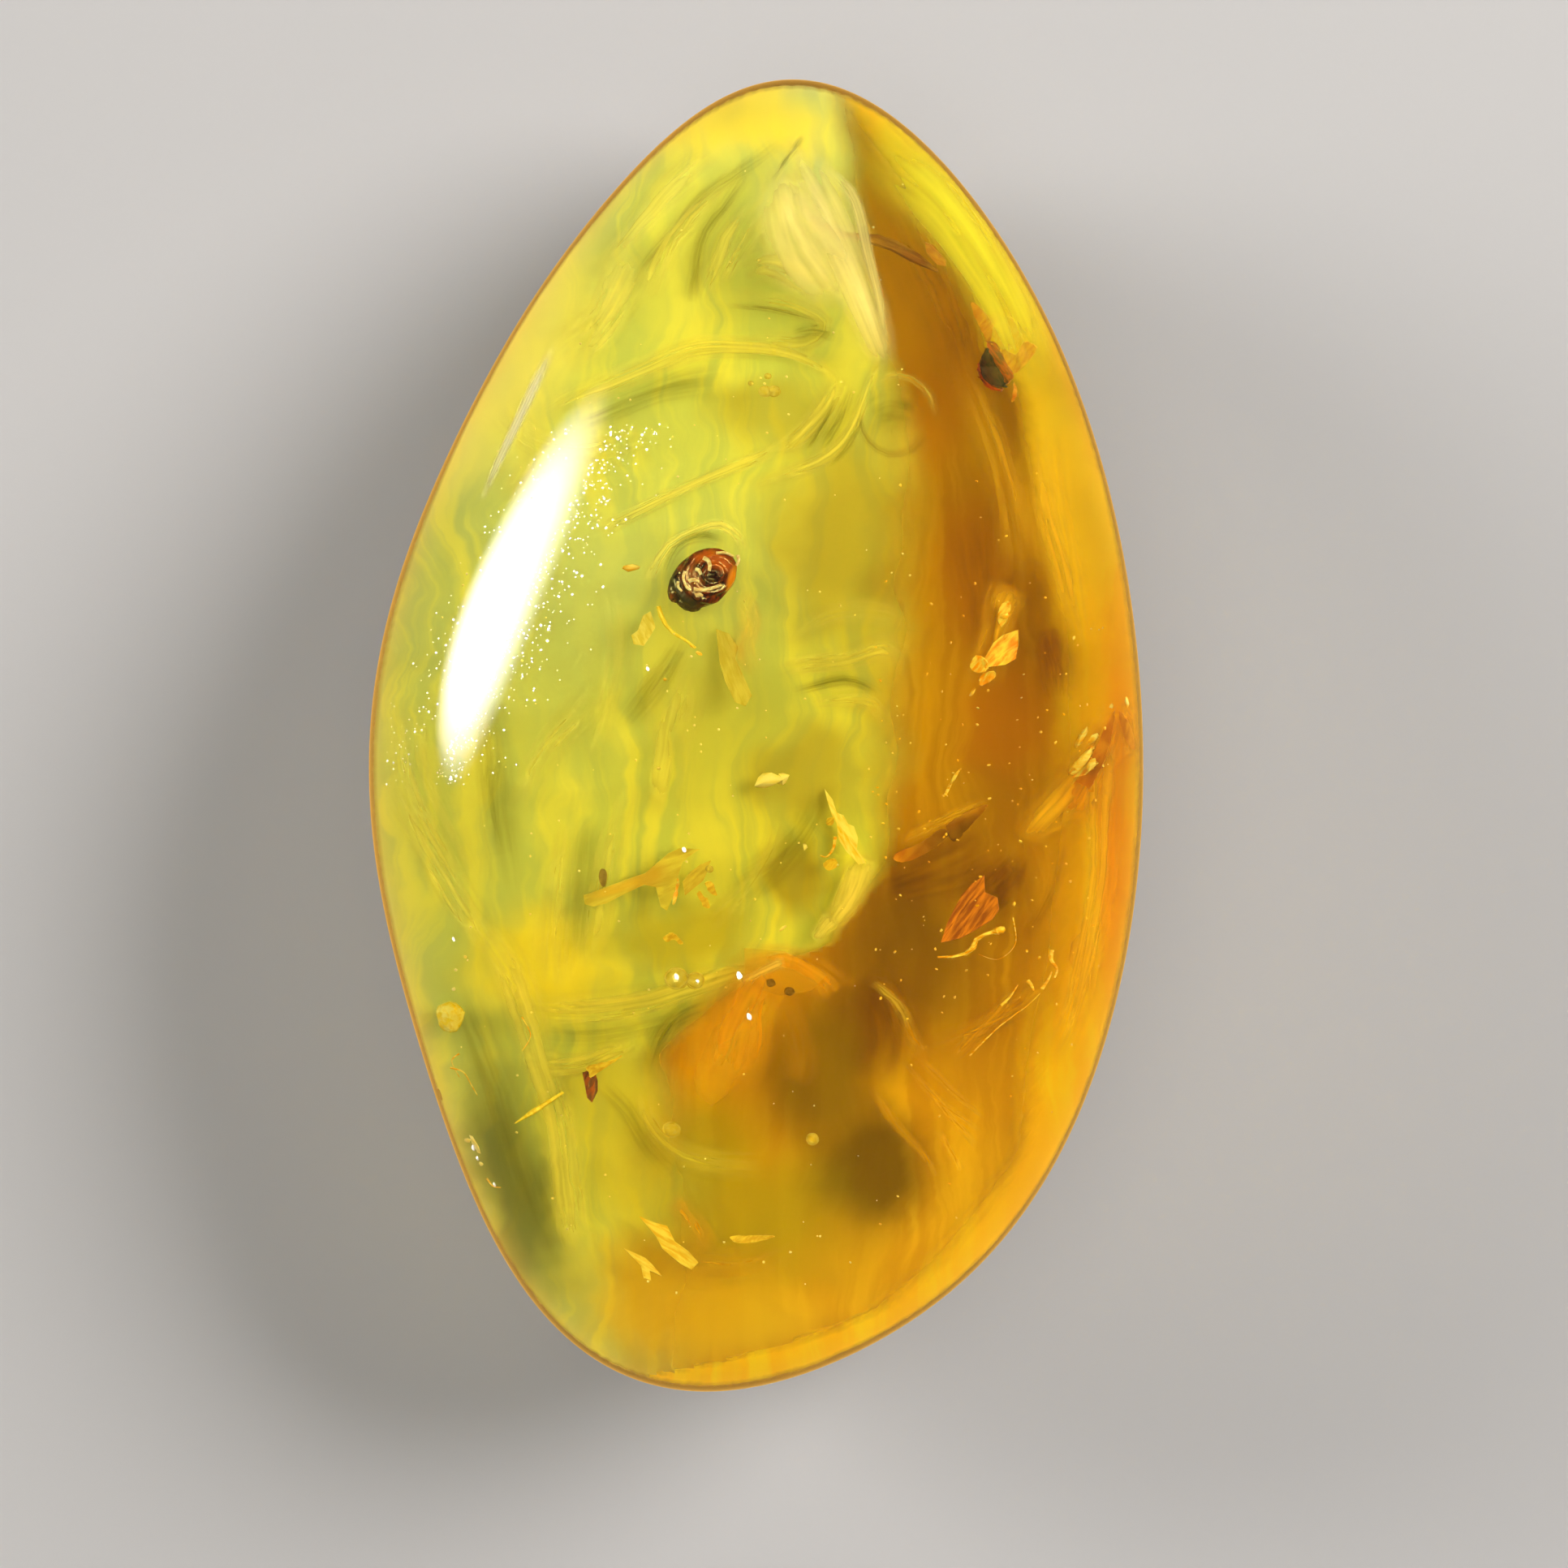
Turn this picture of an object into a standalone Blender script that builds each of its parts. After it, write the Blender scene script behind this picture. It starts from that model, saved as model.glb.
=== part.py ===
"""A polished amber nugget with the insects and plant scraps that are sealed in it.

Run it with: blender --background --python part.py
The stone lies on its flat base. +Y runs to its narrow end and +Z is up, with the origin on the surface it
rests on, under the middle of its outline. The clear amber is parted into two halves along a gently wavy
sheet, and each scrap lies in its own pocket on that sheet.
"""

import math

import bmesh
import bpy
from mathutils import Matrix, Vector

MM = 0.001

# The stone, as a maker would measure it with calipers.
LENGTH = 50.0 * MM
WIDTH = 29.5 * MM
GIRDLE_HEIGHT = 7.6 * MM
DOME_HEIGHT = 10.4 * MM
BELLY_DEPTH = 8.5 * MM
DOME_SHOULDER = 0.10
BELLY_SHOULDER = 0.24
SUMMIT_SHIFT = Vector((-0.5, -0.8)) * MM

# The outline's share of a true ellipse, every 22.5 degrees round from +X.
OUTLINE_FULLNESS = (
    (1.002, 0.988, 0.987, 1.005)
    + (0.990, 0.908, 0.877, 0.919)
    + (0.995, 0.989, 1.016, 1.038)
    + (0.995, 0.980, 1.009, 1.018)
)

STONE_SEGMENTS = 48
STONE_RINGS = 26

# The wavy sheet that parts the two halves: its usual height, and (x, y, rise, spread) of each swell in it.
PARTING_HEIGHT = 7.9 * MM
PARTING_SWELLS = (
    (-1.9 * MM, 5.6 * MM, 4.4 * MM, 5.0 * MM),
    (-3.0 * MM, -6.0 * MM, 2.4 * MM, 5.0 * MM),
    (7.5 * MM, -7.0 * MM, -1.4 * MM, 4.0 * MM),
    (4.5 * MM, 17.0 * MM, 1.2 * MM, 4.0 * MM),
)
PARTING_GAP = 0.3 * MM
PARTING_CELL = 2.1 * MM
CUTTER_MARGIN = 3.0 * MM
CUTTER_FLOOR = -4.0 * MM
CUT_TOLERANCE = 0.001 * MM
LEAST_SINE = 1e-9

# Room left between a scrap and the wall of its pocket.
POCKET_CLEARANCE = 0.32 * MM

# The scraps, in millimetres.
FLAKE_THICKNESS = 0.16
WING_THICKNESS = 0.12
THREAD_RADIUS = 0.07
NEEDLE_RADIUS = 0.09
TWIG_RADIUS = 0.22

# sRGB colour and roughness of each finish.
FINISHES = {
    "clear_amber": ("#E8A21A", 0.05),
    "beetle_shell": ("#4A1C10", 0.25),
    "insect_husk": ("#3A1408", 0.40),
    "bark": ("#8E3E0A", 0.70),
    "dry_leaf": ("#D9A026", 0.60),
    "pale_fibre": ("#E8D86A", 0.55),
    "gold_flake": ("#F0B428", 0.35),
    "resin_lump": ("#F2A01E", 0.30),
}
AMBER_IOR = 1.54


def linear_colour(hex_code):
    """The linear RGBA of an sRGB hex code."""
    channels = [int(hex_code[i : i + 2], 16) / 255 for i in (1, 3, 5)]
    linear = [c / 12.92 if c <= 0.04045 else ((c + 0.055) / 1.055) ** 2.4 for c in channels]
    return (*linear, 1.0)


def finish(name):
    """The material of that name, made on first use."""
    material = bpy.data.materials.get(name)
    if material is None:
        colour, roughness = FINISHES[name]
        material = bpy.data.materials.new(name)
        material.use_nodes = True
        shader = material.node_tree.nodes["Principled BSDF"]
        shader.inputs["Base Color"].default_value = linear_colour(colour)
        shader.inputs["Roughness"].default_value = roughness
        shader.inputs["Metallic"].default_value = 0.0
        if name == "clear_amber":
            shader.inputs["Transmission Weight"].default_value = 1.0
            shader.inputs["IOR"].default_value = AMBER_IOR
    return material


def mesh_from(bm, name):
    """Writes a bmesh to a new mesh and frees it."""
    mesh = bpy.data.meshes.new(name)
    bm.to_mesh(mesh)
    bm.free()
    return mesh


def new_object(name, data, collection, material=None):
    """Links a mesh or a curve into a collection as an object of that name."""
    obj = bpy.data.objects.new(name, data)
    collection.objects.link(obj)
    if material:
        data.materials.append(finish(material))
    return obj


def hide_as_cutter(obj):
    """Keeps a helper out of the model and shows it as a wire."""
    obj.hide_render = True
    obj.display_type = "WIRE"
    return obj


def add_boolean(obj, operation, cutter=None, collection=None):
    """Cuts or joins obj with one cutter, or with a whole collection of them."""
    modifier = obj.modifiers.new(operation.lower(), "BOOLEAN")
    modifier.operation = operation
    if collection:
        modifier.operand_type = "COLLECTION"
        modifier.collection = collection
    else:
        modifier.object = cutter


def outline_fullness(around):
    """The outline's share of a true ellipse at an angle, on a smooth wave through every value in the list."""
    count = len(OUTLINE_FULLNESS)
    total = 0.0
    for i, value in enumerate(OUTLINE_FULLNESS):
        half = (around - 2 * math.pi * i / count) / 2
        if abs(math.sin(half)) < LEAST_SINE:
            return value
        total += value * math.sin(count * half) / (count * math.tan(half))
    return total


def stone_point(unit):
    """Moves a point of the unit sphere to the stone's surface, before the base is cut flat."""
    around = math.atan2(unit.y, unit.x)
    level = math.asin(max(-1.0, min(1.0, unit.z)))
    rise = math.sin(level)
    shoulder = DOME_SHOULDER if rise > 0 else BELLY_SHOULDER
    reach = math.cos(level) * (1 + shoulder * rise * rise) * outline_fullness(around)
    height = rise * (DOME_HEIGHT if rise > 0 else BELLY_DEPTH)
    lean = SUMMIT_SHIFT * rise * rise if rise > 0 else Vector((0, 0))
    return Vector(
        (
            WIDTH / 2 * reach * math.cos(around) + lean.x,
            LENGTH / 2 * reach * math.sin(around) + lean.y,
            GIRDLE_HEIGHT + height,
        )
    )


def stone_mesh(name):
    """The whole stone as one closed mesh, resting on a flat base at z = 0."""
    bm = bmesh.new()
    bmesh.ops.create_uvsphere(bm, u_segments=STONE_SEGMENTS, v_segments=STONE_RINGS, radius=1.0)
    for vertex in bm.verts:
        vertex.co = stone_point(vertex.co.normalized())
    geometry = bm.verts[:] + bm.edges[:] + bm.faces[:]
    cut = bmesh.ops.bisect_plane(bm, geom=geometry, dist=CUT_TOLERANCE, plane_no=(0, 0, -1), clear_outer=True)
    rim = [item for item in cut["geom_cut"] if isinstance(item, bmesh.types.BMEdge)]
    bmesh.ops.edgeloop_fill(bm, edges=rim)
    bmesh.ops.triangulate(bm, faces=bm.faces)
    bmesh.ops.recalc_face_normals(bm, faces=bm.faces)
    return mesh_from(bm, name)


def parting_height(x, y):
    """The height of the parting sheet over a point of the plan."""
    height = PARTING_HEIGHT
    for centre_x, centre_y, rise, spread in PARTING_SWELLS:
        distance = math.hypot(x - centre_x, y - centre_y)
        height += rise * math.exp(-0.5 * (distance / spread) ** 2)
    return height


def parting_block(name, offset, cutters):
    """A closed block whose top is the parting sheet, moved up or down by offset."""
    half_x = WIDTH / 2 + CUTTER_MARGIN
    half_y = LENGTH / 2 + CUTTER_MARGIN
    bm = bmesh.new()
    bmesh.ops.create_grid(
        bm,
        x_segments=round(2 * half_x / PARTING_CELL),
        y_segments=round(2 * half_y / PARTING_CELL),
        size=1.0,
        matrix=Matrix.Diagonal((half_x, half_y, 1, 1)),
    )
    for vertex in bm.verts:
        vertex.co.z = parting_height(vertex.co.x, vertex.co.y) + offset
    border = [edge for edge in bm.edges if edge.is_boundary]
    skirt = bmesh.ops.extrude_edge_only(bm, edges=border)
    for item in skirt["geom"]:
        if isinstance(item, bmesh.types.BMVert):
            item.co.z = CUTTER_FLOOR
    floor = [edge for edge in bm.edges if edge.is_boundary]
    bmesh.ops.edgeloop_fill(bm, edges=floor)
    bmesh.ops.triangulate(bm, faces=bm.faces)
    bmesh.ops.recalc_face_normals(bm, faces=bm.faces)
    return hide_as_cutter(new_object(name, mesh_from(bm, name), cutters))


def place(obj, x, y, lift=0.0):
    """Lays a scrap on the parting sheet at a point of the plan, in millimetres."""
    obj.location = (x * MM, y * MM, parting_height(x * MM, y * MM) + lift * MM)
    return obj


def flake(name, outline, collection, material):
    """A thin flat scrap: a closed outline in millimetres, filled and given a thickness."""
    curve = bpy.data.curves.new(name, "CURVE")
    curve.dimensions = "2D"
    curve.fill_mode = "BOTH"
    curve.extrude = FLAKE_THICKNESS / 2 * MM
    spline = curve.splines.new("POLY")
    spline.points.add(len(outline) - 1)
    for point, (x, y) in zip(spline.points, outline):
        point.co = (x * MM, y * MM, 0, 1)
    spline.use_cyclic_u = True
    return new_object(name, curve, collection, material)


def thread(name, route, collection, material, radius, shares):
    """A thin bent strand along a route in millimetres, with a share of its radius at each point."""
    curve = bpy.data.curves.new(name, "CURVE")
    curve.dimensions = "3D"
    curve.bevel_depth = radius * MM
    curve.bevel_resolution = 1
    curve.use_fill_caps = True
    spline = curve.splines.new("POLY")
    spline.points.add(len(route) - 1)
    for point, (x, y, z), share in zip(spline.points, route, shares):
        point.co = (x * MM, y * MM, z * MM, 1)
        point.radius = share
    return new_object(name, curve, collection, material)


def ellipsoid(centre, radii, turn=0.0, segments=16, rings=10):
    """A new bmesh that holds one ellipsoid, sizes in millimetres."""
    matrix = (
        Matrix.Translation(Vector(centre) * MM)
        @ Matrix.Rotation(math.radians(turn), 4, "Z")
        @ Matrix.Diagonal((*(Vector(radii) * MM), 1))
    )
    bm = bmesh.new()
    bmesh.ops.create_uvsphere(bm, u_segments=segments, v_segments=rings, radius=1.0, matrix=matrix)
    return bm


def plate(outline, height, tilt):
    """A new bmesh that holds one thin wing with this outline in millimetres, tilted about X in degrees."""
    bm = bmesh.new()
    face = bm.faces.new([bm.verts.new((x, y, -WING_THICKNESS / 2)) for x, y in outline])
    raised = bmesh.ops.extrude_face_region(bm, geom=[face])
    for item in raised["geom"]:
        if isinstance(item, bmesh.types.BMVert):
            item.co.z += WING_THICKNESS
    bmesh.ops.recalc_face_normals(bm, faces=bm.faces)
    turn = Matrix.Rotation(math.radians(tilt), 4, "X")
    matrix = Matrix.Scale(MM, 4) @ Matrix.Translation((0, 0, height)) @ turn
    bmesh.ops.transform(bm, matrix=matrix, verts=bm.verts)
    return bm


def fused(name, shapes, collection, guides, material):
    """Joins several closed bmeshes into one solid, the first with each of the others."""
    body, *others = shapes
    obj = new_object(name, mesh_from(body, name), collection, material)
    obj.data.shade_smooth()
    for i, bm in enumerate(others, start=1):
        guide = new_object(f"{name}_guide_{i}", mesh_from(bm, name), guides)
        guide.parent = obj
        add_boolean(obj, "UNION", cutter=hide_as_cutter(guide))
    return obj


def build_beetle(collection, guides):
    """The round beetle: a domed back, the flat collar that shows round it, and its tucked head."""
    back = ellipsoid((0.08, 0.22, 0.06), (1.22, 0.90, 0.62), turn=42, segments=20, rings=12)
    collar = ellipsoid((-0.02, 0.12, -0.10), (1.32, 1.00, 0.36), turn=42, segments=20, rings=8)
    head = ellipsoid((-0.36, -0.92, -0.08), (0.50, 0.37, 0.28), turn=-20, segments=14, rings=8)
    return fused("beetle", [back, collar, head], collection, guides, "beetle_shell")


def build_winged_insect(collection, guides):
    """The drop-shaped insect, with one round wing, one flap to the side and one pointed wing."""
    body = ellipsoid((0.05, 0.02, 0.0), (0.46, 0.80, 0.42), turn=12)
    thorax = ellipsoid((0.38, -0.12, 0.05), (0.26, 0.46, 0.26), turn=24, segments=12, rings=8)
    round_wing = plate(
        [(0.05, 0.40), (-0.05, 0.88), (-0.04, 1.42), (0.25, 1.81), (0.72, 1.93), (1.13, 1.64), (1.22, 1.18),
         (0.83, 0.83), (0.30, 0.20)],
        height=0.16, tilt=2,
    )  # fmt: skip
    flap = plate(
        [(0.20, 0.50), (1.06, 0.97), (1.65, 0.80), (1.44, 0.49), (0.67, -0.31), (0.25, -0.45)],
        height=-0.02, tilt=-4,
    )  # fmt: skip
    pointed_wing = plate(
        [(0.20, 0.45), (0.02, 1.39), (0.26, 1.86), (-0.40, 2.14), (-0.70, 2.21), (-0.56, 1.70),
         (-0.20, 0.45)],
        height=-0.12, tilt=3,
    )  # fmt: skip
    return fused(
        "winged_insect", [body, thorax, round_wing, flap, pointed_wing], collection, guides, "insect_husk"
    )


def build_lump(name, radii, turn, waves, collection, material):
    """A lumpy grain: an ellipsoid pushed in and out by a few smooth waves of (axis, rate, depth)."""
    bm = ellipsoid((0, 0, 0), (1, 1, 1), segments=14, rings=9)
    for vertex in bm.verts:
        unit = vertex.co / MM
        vertex.co *= 1 + sum(depth * math.sin(rate * unit.dot(Vector(axis))) for axis, rate, depth in waves)
    shape = Matrix.Rotation(math.radians(turn), 4, "Z") @ Matrix.Diagonal((*radii, 1))
    bmesh.ops.transform(bm, matrix=shape, verts=bm.verts)
    return new_object(name, mesh_from(bm, name), collection, material)


def build_threads(collection):
    """The long thin things: the twig, the bright thread with its bead, the needle and the yellow strand."""
    return [
        place(
            thread(
                "twig",
                [(-1.85, 0.72, 0.0), (-1.08, 0.31, 0.0), (-0.45, 0.26, 0.0), (0.0, 0.16, 0.0),
                 (0.55, -0.02, 0.0), (1.30, -0.46, 0.0), (2.02, -0.90, 0.0)],
                collection, "bark", TWIG_RADIUS, [0.45, 0.60, 0.60, 1.0, 1.0, 0.95, 0.25],
            ),
            3.9, 17.5,
        ),
        place(
            thread(
                "gold_thread",
                [(-1.04, -0.47, 0.0), (-0.59, -0.47, 0.0), (-0.18, -0.36, 0.0), (0.06, -0.14, 0.05),
                 (0.16, 0.14, 0.08), (0.41, 0.32, 0.05), (0.66, 0.40, 0.0), (0.80, 0.44, 0.0),
                 (0.92, 0.48, 0.0)],
                collection, "gold_flake", THREAD_RADIUS, [0.5, 0.8, 1.0, 1.4, 1.2, 1.0, 1.0, 2.2, 1.2],
            ),
            6.8, -7.5, lift=0.15,
        ),
        place(
            thread(
                "needle",
                [(-0.78, -0.58, 0.0), (-0.26, -0.18, 0.0), (0.20, 0.18, 0.0), (0.66, 0.55, 0.0)],
                collection, "pale_fibre", NEEDLE_RADIUS, [0.2, 1.0, 0.8, 0.5],
            ),
            -6.7, -13.4,
        ),
        place(
            thread(
                "yellow_strand",
                [(-0.26, 0.44, 0.0), (-0.18, 0.12, 0.0), (-0.02, -0.21, 0.0), (0.22, -0.50, 0.0),
                 (0.70, -0.80, 0.0), (0.98, -1.04, 0.0)],
                collection, "pale_fibre", THREAD_RADIUS, [1.1, 1.3, 1.0, 0.9, 0.7, 0.7],
            ),
            -2.95, 4.0,
        ),
    ]  # fmt: skip


def build_flakes(collection):
    """The flat scraps of leaf, bark and broken resin. Each outline starts at its top and runs round it."""
    scraps = [
        ("orange_scale", "resin_lump", 5.8, 17.1,
         [(-0.29, 0.55), (-0.02, 0.45), (0.42, -0.10), (0.41, -0.30), (0.12, -0.26), (-0.24, 0.14)]),
        ("leaf_shred", "dry_leaf", -3.7, -5.4,
         [(0.83, 1.06), (1.19, 1.23), (1.85, 1.21), (1.45, 0.91), (1.28, 0.71), (1.15, 0.27), (1.04, -0.33),
          (0.77, -1.00), (0.57, -0.86), (0.42, -0.16), (0.04, -0.07), (-0.60, -0.39), (-1.21, -0.73),
          (-1.64, -0.84), (-1.92, -0.75), (-1.98, -0.42), (-1.46, -0.23), (-0.31, 0.22), (0.06, 0.34)]),
        ("leaf_blade", "dry_leaf", -2.1, -5.3,
         [(0.59, 0.71), (0.46, 0.27), (0.33, -0.02), (0.01, -0.31), (-0.25, -0.55), (-0.32, -0.06),
          (-0.07, 0.29), (0.26, 0.56)]),
        ("pale_splinter", "pale_fibre", 2.9, -3.4,
         [(-0.66, 1.36), (-0.40, 0.98), (-0.26, 0.52), (-0.05, 0.43), (0.11, 0.12), (0.30, 0.03),
          (0.43, -0.38), (0.40, -0.78), (0.70, -1.27), (0.46, -1.32), (0.04, -0.83), (-0.21, -0.40),
          (-0.26, 0.15), (-0.42, 0.44), (-0.58, 0.98)]),
        ("bark_flake", "bark", 6.6, -6.4,
         [(0.60, 1.30), (0.25, 1.02), (-0.08, 0.62), (-0.37, 0.02), (-0.56, -0.43), (-0.74, -1.06),
          (-0.46, -1.00), (-0.12, -0.90), (0.21, -0.70), (0.85, -0.25), (1.05, 0.10), (1.00, 0.52),
          (0.62, 0.70)]),
        ("gold_flake", "gold_flake", 8.0, 2.9,
         [(0.47, 0.74), (-0.02, 0.56), (-0.33, 0.27), (-0.58, -0.23), (-0.68, -0.63), (0.06, -0.51),
          (0.39, -0.31), (0.47, 0.13)]),
        ("bright_splinter", "gold_flake", 10.5, -1.3,
         [(0.11, 0.42), (-0.15, 0.10), (-0.44, -0.34), (-0.02, -0.25), (0.40, 0.18)]),
        ("seed_chip", "bark", -5.3, -12.6,
         [(-0.20, 0.45), (0.14, 0.58), (0.25, 0.17), (0.25, -0.20), (0.08, -0.61), (-0.06, -0.44)]),
        ("clot_flake", "resin_lump", 0.8, -8.4,
         [(-1.26, 0.72), (0.12, 0.62), (1.56, -0.21), (1.01, -0.78), (-0.05, -0.97), (-1.20, -0.60)]),
        ("pale_shred", "pale_fibre", -3.75, 3.5,
         [(0.02, 0.59), (0.28, 0.75), (0.44, 0.19), (0.26, -0.14), (0.03, -0.49), (-0.31, -0.44),
          (-0.39, -0.12), (-0.16, 0.06)]),
        ("tan_band", "dry_leaf", -0.7, 2.3,
         [(-0.55, 1.35), (-0.14, 1.20), (0.15, 0.72), (0.06, 0.29), (0.35, -0.38), (0.58, -1.01),
          (0.37, -1.39), (0.04, -1.25), (-0.28, -0.53), (-0.46, 0.19)]),
        ("low_shred", "dry_leaf", -2.9, -18.1,
         [(-0.91, 0.96), (-0.47, 0.75), (-0.09, 0.64), (0.14, 0.10), (0.56, -0.25), (0.85, -0.62),
          (0.64, -0.87), (0.31, -0.68), (-0.24, -0.15), (-0.42, 0.27)]),
        ("fork_shred", "dry_leaf", -3.6, -18.9,
         [(-0.66, 0.64), (-0.05, 0.32), (0.15, 0.10), (0.44, -0.30), (0.08, -0.12), (0.12, -0.46),
          (-0.09, -0.38), (-0.17, 0.05)]),
    ]  # fmt: skip
    return [
        place(flake(name, outline, collection, material), x, y) for name, material, x, y, outline in scraps
    ]


def build_lumps(collection):
    """The rounded things: the yellow grain near the edge and the orange clot."""
    grain_waves = [((0, 1, 0), 5.0, 0.06), ((1, 0, 0.4), 6.0, 0.05)]
    clot_waves = [((1, 0.3, 0), 4.0, 0.08), ((0, 1, 0.5), 6.0, 0.07), ((0.6, -0.8, 0.2), 8.0, 0.04)]
    grain = build_lump("resin_grain", (0.52, 0.58, 0.40), 0, grain_waves, collection, "pale_fibre")
    clot = build_lump("resin_clot", (0.72, 2.00, 0.42), -26, clot_waves, collection, "resin_lump")
    return [place(grain, -9.7, -10.1), place(clot, -1.0, -11.3)]


def pocket_for(obj, pockets):
    """The room for one scrap: a box that clears it on every side."""
    shape = obj.evaluated_get(bpy.context.evaluated_depsgraph_get())
    points = [vertex.co.copy() for vertex in shape.to_mesh().vertices]
    shape.to_mesh_clear()
    room = Vector((POCKET_CLEARANCE,) * 3)
    low = Vector(map(min, zip(*points))) - room
    high = Vector(map(max, zip(*points))) + room
    bm = bmesh.new()
    matrix = obj.matrix_world @ Matrix.Translation((low + high) / 2) @ Matrix.Diagonal((*(high - low), 1))
    bmesh.ops.create_cube(bm, size=1.0, matrix=matrix)
    return hide_as_cutter(new_object(f"{obj.name}_pocket", mesh_from(bm, obj.name), pockets))


def build_half(name, operation, offset, collection, cutters, pockets):
    """One half of the stone: the part below or above the parting sheet, with its side of each pocket."""
    half = new_object(name, stone_mesh(name), collection, "clear_amber")
    half.data.shade_smooth()
    add_boolean(half, operation, cutter=parting_block(f"{name}_block", offset, cutters))
    add_boolean(half, "DIFFERENCE", collection=pockets)


def new_collection(name, parent):
    """A new collection inside another one."""
    collection = bpy.data.collections.new(name)
    parent.children.link(collection)
    return collection


def main():
    """Clears the scene, lays out the scraps and builds the halves of the stone round them."""
    for obj in list(bpy.data.objects):
        bpy.data.objects.remove(obj)
    root = bpy.context.scene.collection
    amber = new_collection("polished_amber", root)
    cutters = new_collection("cutters", root)
    pockets = new_collection("pockets", root)

    scraps = [
        place(build_beetle(amber, cutters), -1.7, 5.4),
        place(build_winged_insect(amber, cutters), 7.7, 13.2),
        *build_threads(amber),
        *build_flakes(amber),
        *build_lumps(amber),
    ]
    bpy.context.view_layer.update()
    for scrap in scraps:
        pocket_for(scrap, pockets)
    build_half("amber_lower", "INTERSECT", -PARTING_GAP / 2, amber, cutters, pockets)
    build_half("amber_upper", "DIFFERENCE", PARTING_GAP / 2, amber, cutters, pockets)


if __name__ == "__main__":
    main()
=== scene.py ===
"""The looks of a polished amber nugget: clear resin, cloudy swirls and everything that is sealed inside.

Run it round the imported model. Lengths are written in millimetres and turned to metres with MM. The nugget
lies on its flat base on a pale floor, and the camera looks straight down on it.
"""

import logging
import math
import random
from collections.abc import Callable
from dataclasses import dataclass
from enum import Enum

import bpy
from mathutils import Matrix, Vector, noise
from mathutils.bvhtree import BVHTree

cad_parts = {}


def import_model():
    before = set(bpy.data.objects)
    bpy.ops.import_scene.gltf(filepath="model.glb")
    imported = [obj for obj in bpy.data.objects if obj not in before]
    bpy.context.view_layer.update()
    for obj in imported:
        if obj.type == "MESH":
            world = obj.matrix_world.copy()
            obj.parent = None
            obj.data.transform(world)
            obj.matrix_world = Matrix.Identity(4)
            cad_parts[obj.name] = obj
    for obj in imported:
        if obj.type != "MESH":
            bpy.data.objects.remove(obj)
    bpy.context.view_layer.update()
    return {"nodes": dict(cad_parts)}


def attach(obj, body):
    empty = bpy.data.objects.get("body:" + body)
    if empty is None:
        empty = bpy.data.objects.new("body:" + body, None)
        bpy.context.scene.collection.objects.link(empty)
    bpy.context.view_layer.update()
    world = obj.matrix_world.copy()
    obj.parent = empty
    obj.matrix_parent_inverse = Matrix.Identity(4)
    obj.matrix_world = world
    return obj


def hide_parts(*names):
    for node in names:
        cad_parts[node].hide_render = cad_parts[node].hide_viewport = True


log = logging.getLogger("amber")

MM = 0.001

Colour = tuple[float, float, float, float]
Point = tuple[float, float]
PlanValue = Callable[[float, float], float]


class Slot(Enum):
    """The record's material slots."""

    AMBER = "clear_amber"
    BEETLE = "beetle_shell"
    HUSK = "insect_husk"
    BARK = "bark"
    LEAF = "dry_leaf"
    FIBRE = "pale_fibre"
    GOLD = "gold_flake"
    LUMP = "resin_lump"


def linear(code: str) -> Colour:
    """Turns an sRGB hex code to linear colour.

    Args:
        code: The colour as #RRGGBB.

    Returns:
        Linear red, green, blue and an alpha of 1.
    """
    channels = [int(code[i : i + 2], 16) / 255 for i in (1, 3, 5)]
    return (*[c / 12.92 if c <= 0.04045 else ((c + 0.055) / 1.055) ** 2.4 for c in channels], 1.0)


def add_node(
    tree: bpy.types.NodeTree, kind: str, settings: dict | None = None, links: dict | None = None
) -> bpy.types.Node:
    """Adds a shader node with its settings and its links.

    Args:
        tree: The material's node tree.
        kind: The node's type, without "ShaderNode".
        settings: Values by attribute name, or by input name or number.
        links: Output sockets by input name or number.

    Returns:
        The new node.
    """
    node = tree.nodes.new("ShaderNode" + kind)
    for name, value in (settings or {}).items():
        if isinstance(name, str) and hasattr(node, name):
            setattr(node, name, value)
        else:
            node.inputs[name].default_value = value
    for name, socket in (links or {}).items():
        tree.links.new(socket, node.inputs[name])
    return node


def smooth(value: float) -> float:
    """Eases a share from 0 to 1, and holds it there."""
    share = max(0.0, min(1.0, value))
    return share * share * (3 - 2 * share)


def deselect_all() -> None:
    """Clears the selection, because an operator acts on all that is selected."""
    bpy.ops.object.select_all(action="DESELECT")


def select_only(obj: bpy.types.Object) -> None:
    """Selects one object and makes it active."""
    deselect_all()
    obj.select_set(True)
    bpy.context.view_layer.objects.active = obj


def apply_modifier(obj: bpy.types.Object, kind: str, **settings) -> None:
    """Adds a modifier and applies it.

    Args:
        obj: The object to change.
        kind: The modifier's type.
        **settings: Values by the modifier's attribute names.
    """
    select_only(obj)
    modifier = obj.modifiers.new(kind.lower(), kind)
    for name, value in settings.items():
        setattr(modifier, name, value)
    bpy.ops.object.modifier_apply(modifier=modifier.name)


def joined(objects: list[bpy.types.Object], name: str) -> bpy.types.Object:
    """Joins several objects into one mesh.

    Args:
        objects: The objects, of which the first takes in the others.
        name: The name of the result.

    Returns:
        The joined object.
    """
    deselect_all()
    for obj in objects:
        obj.select_set(True)
    bpy.context.view_layer.objects.active = objects[0]
    if len(objects) > 1:
        bpy.ops.object.join()
    objects[0].name = name
    objects[0].data.name = name
    return objects[0]


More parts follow.
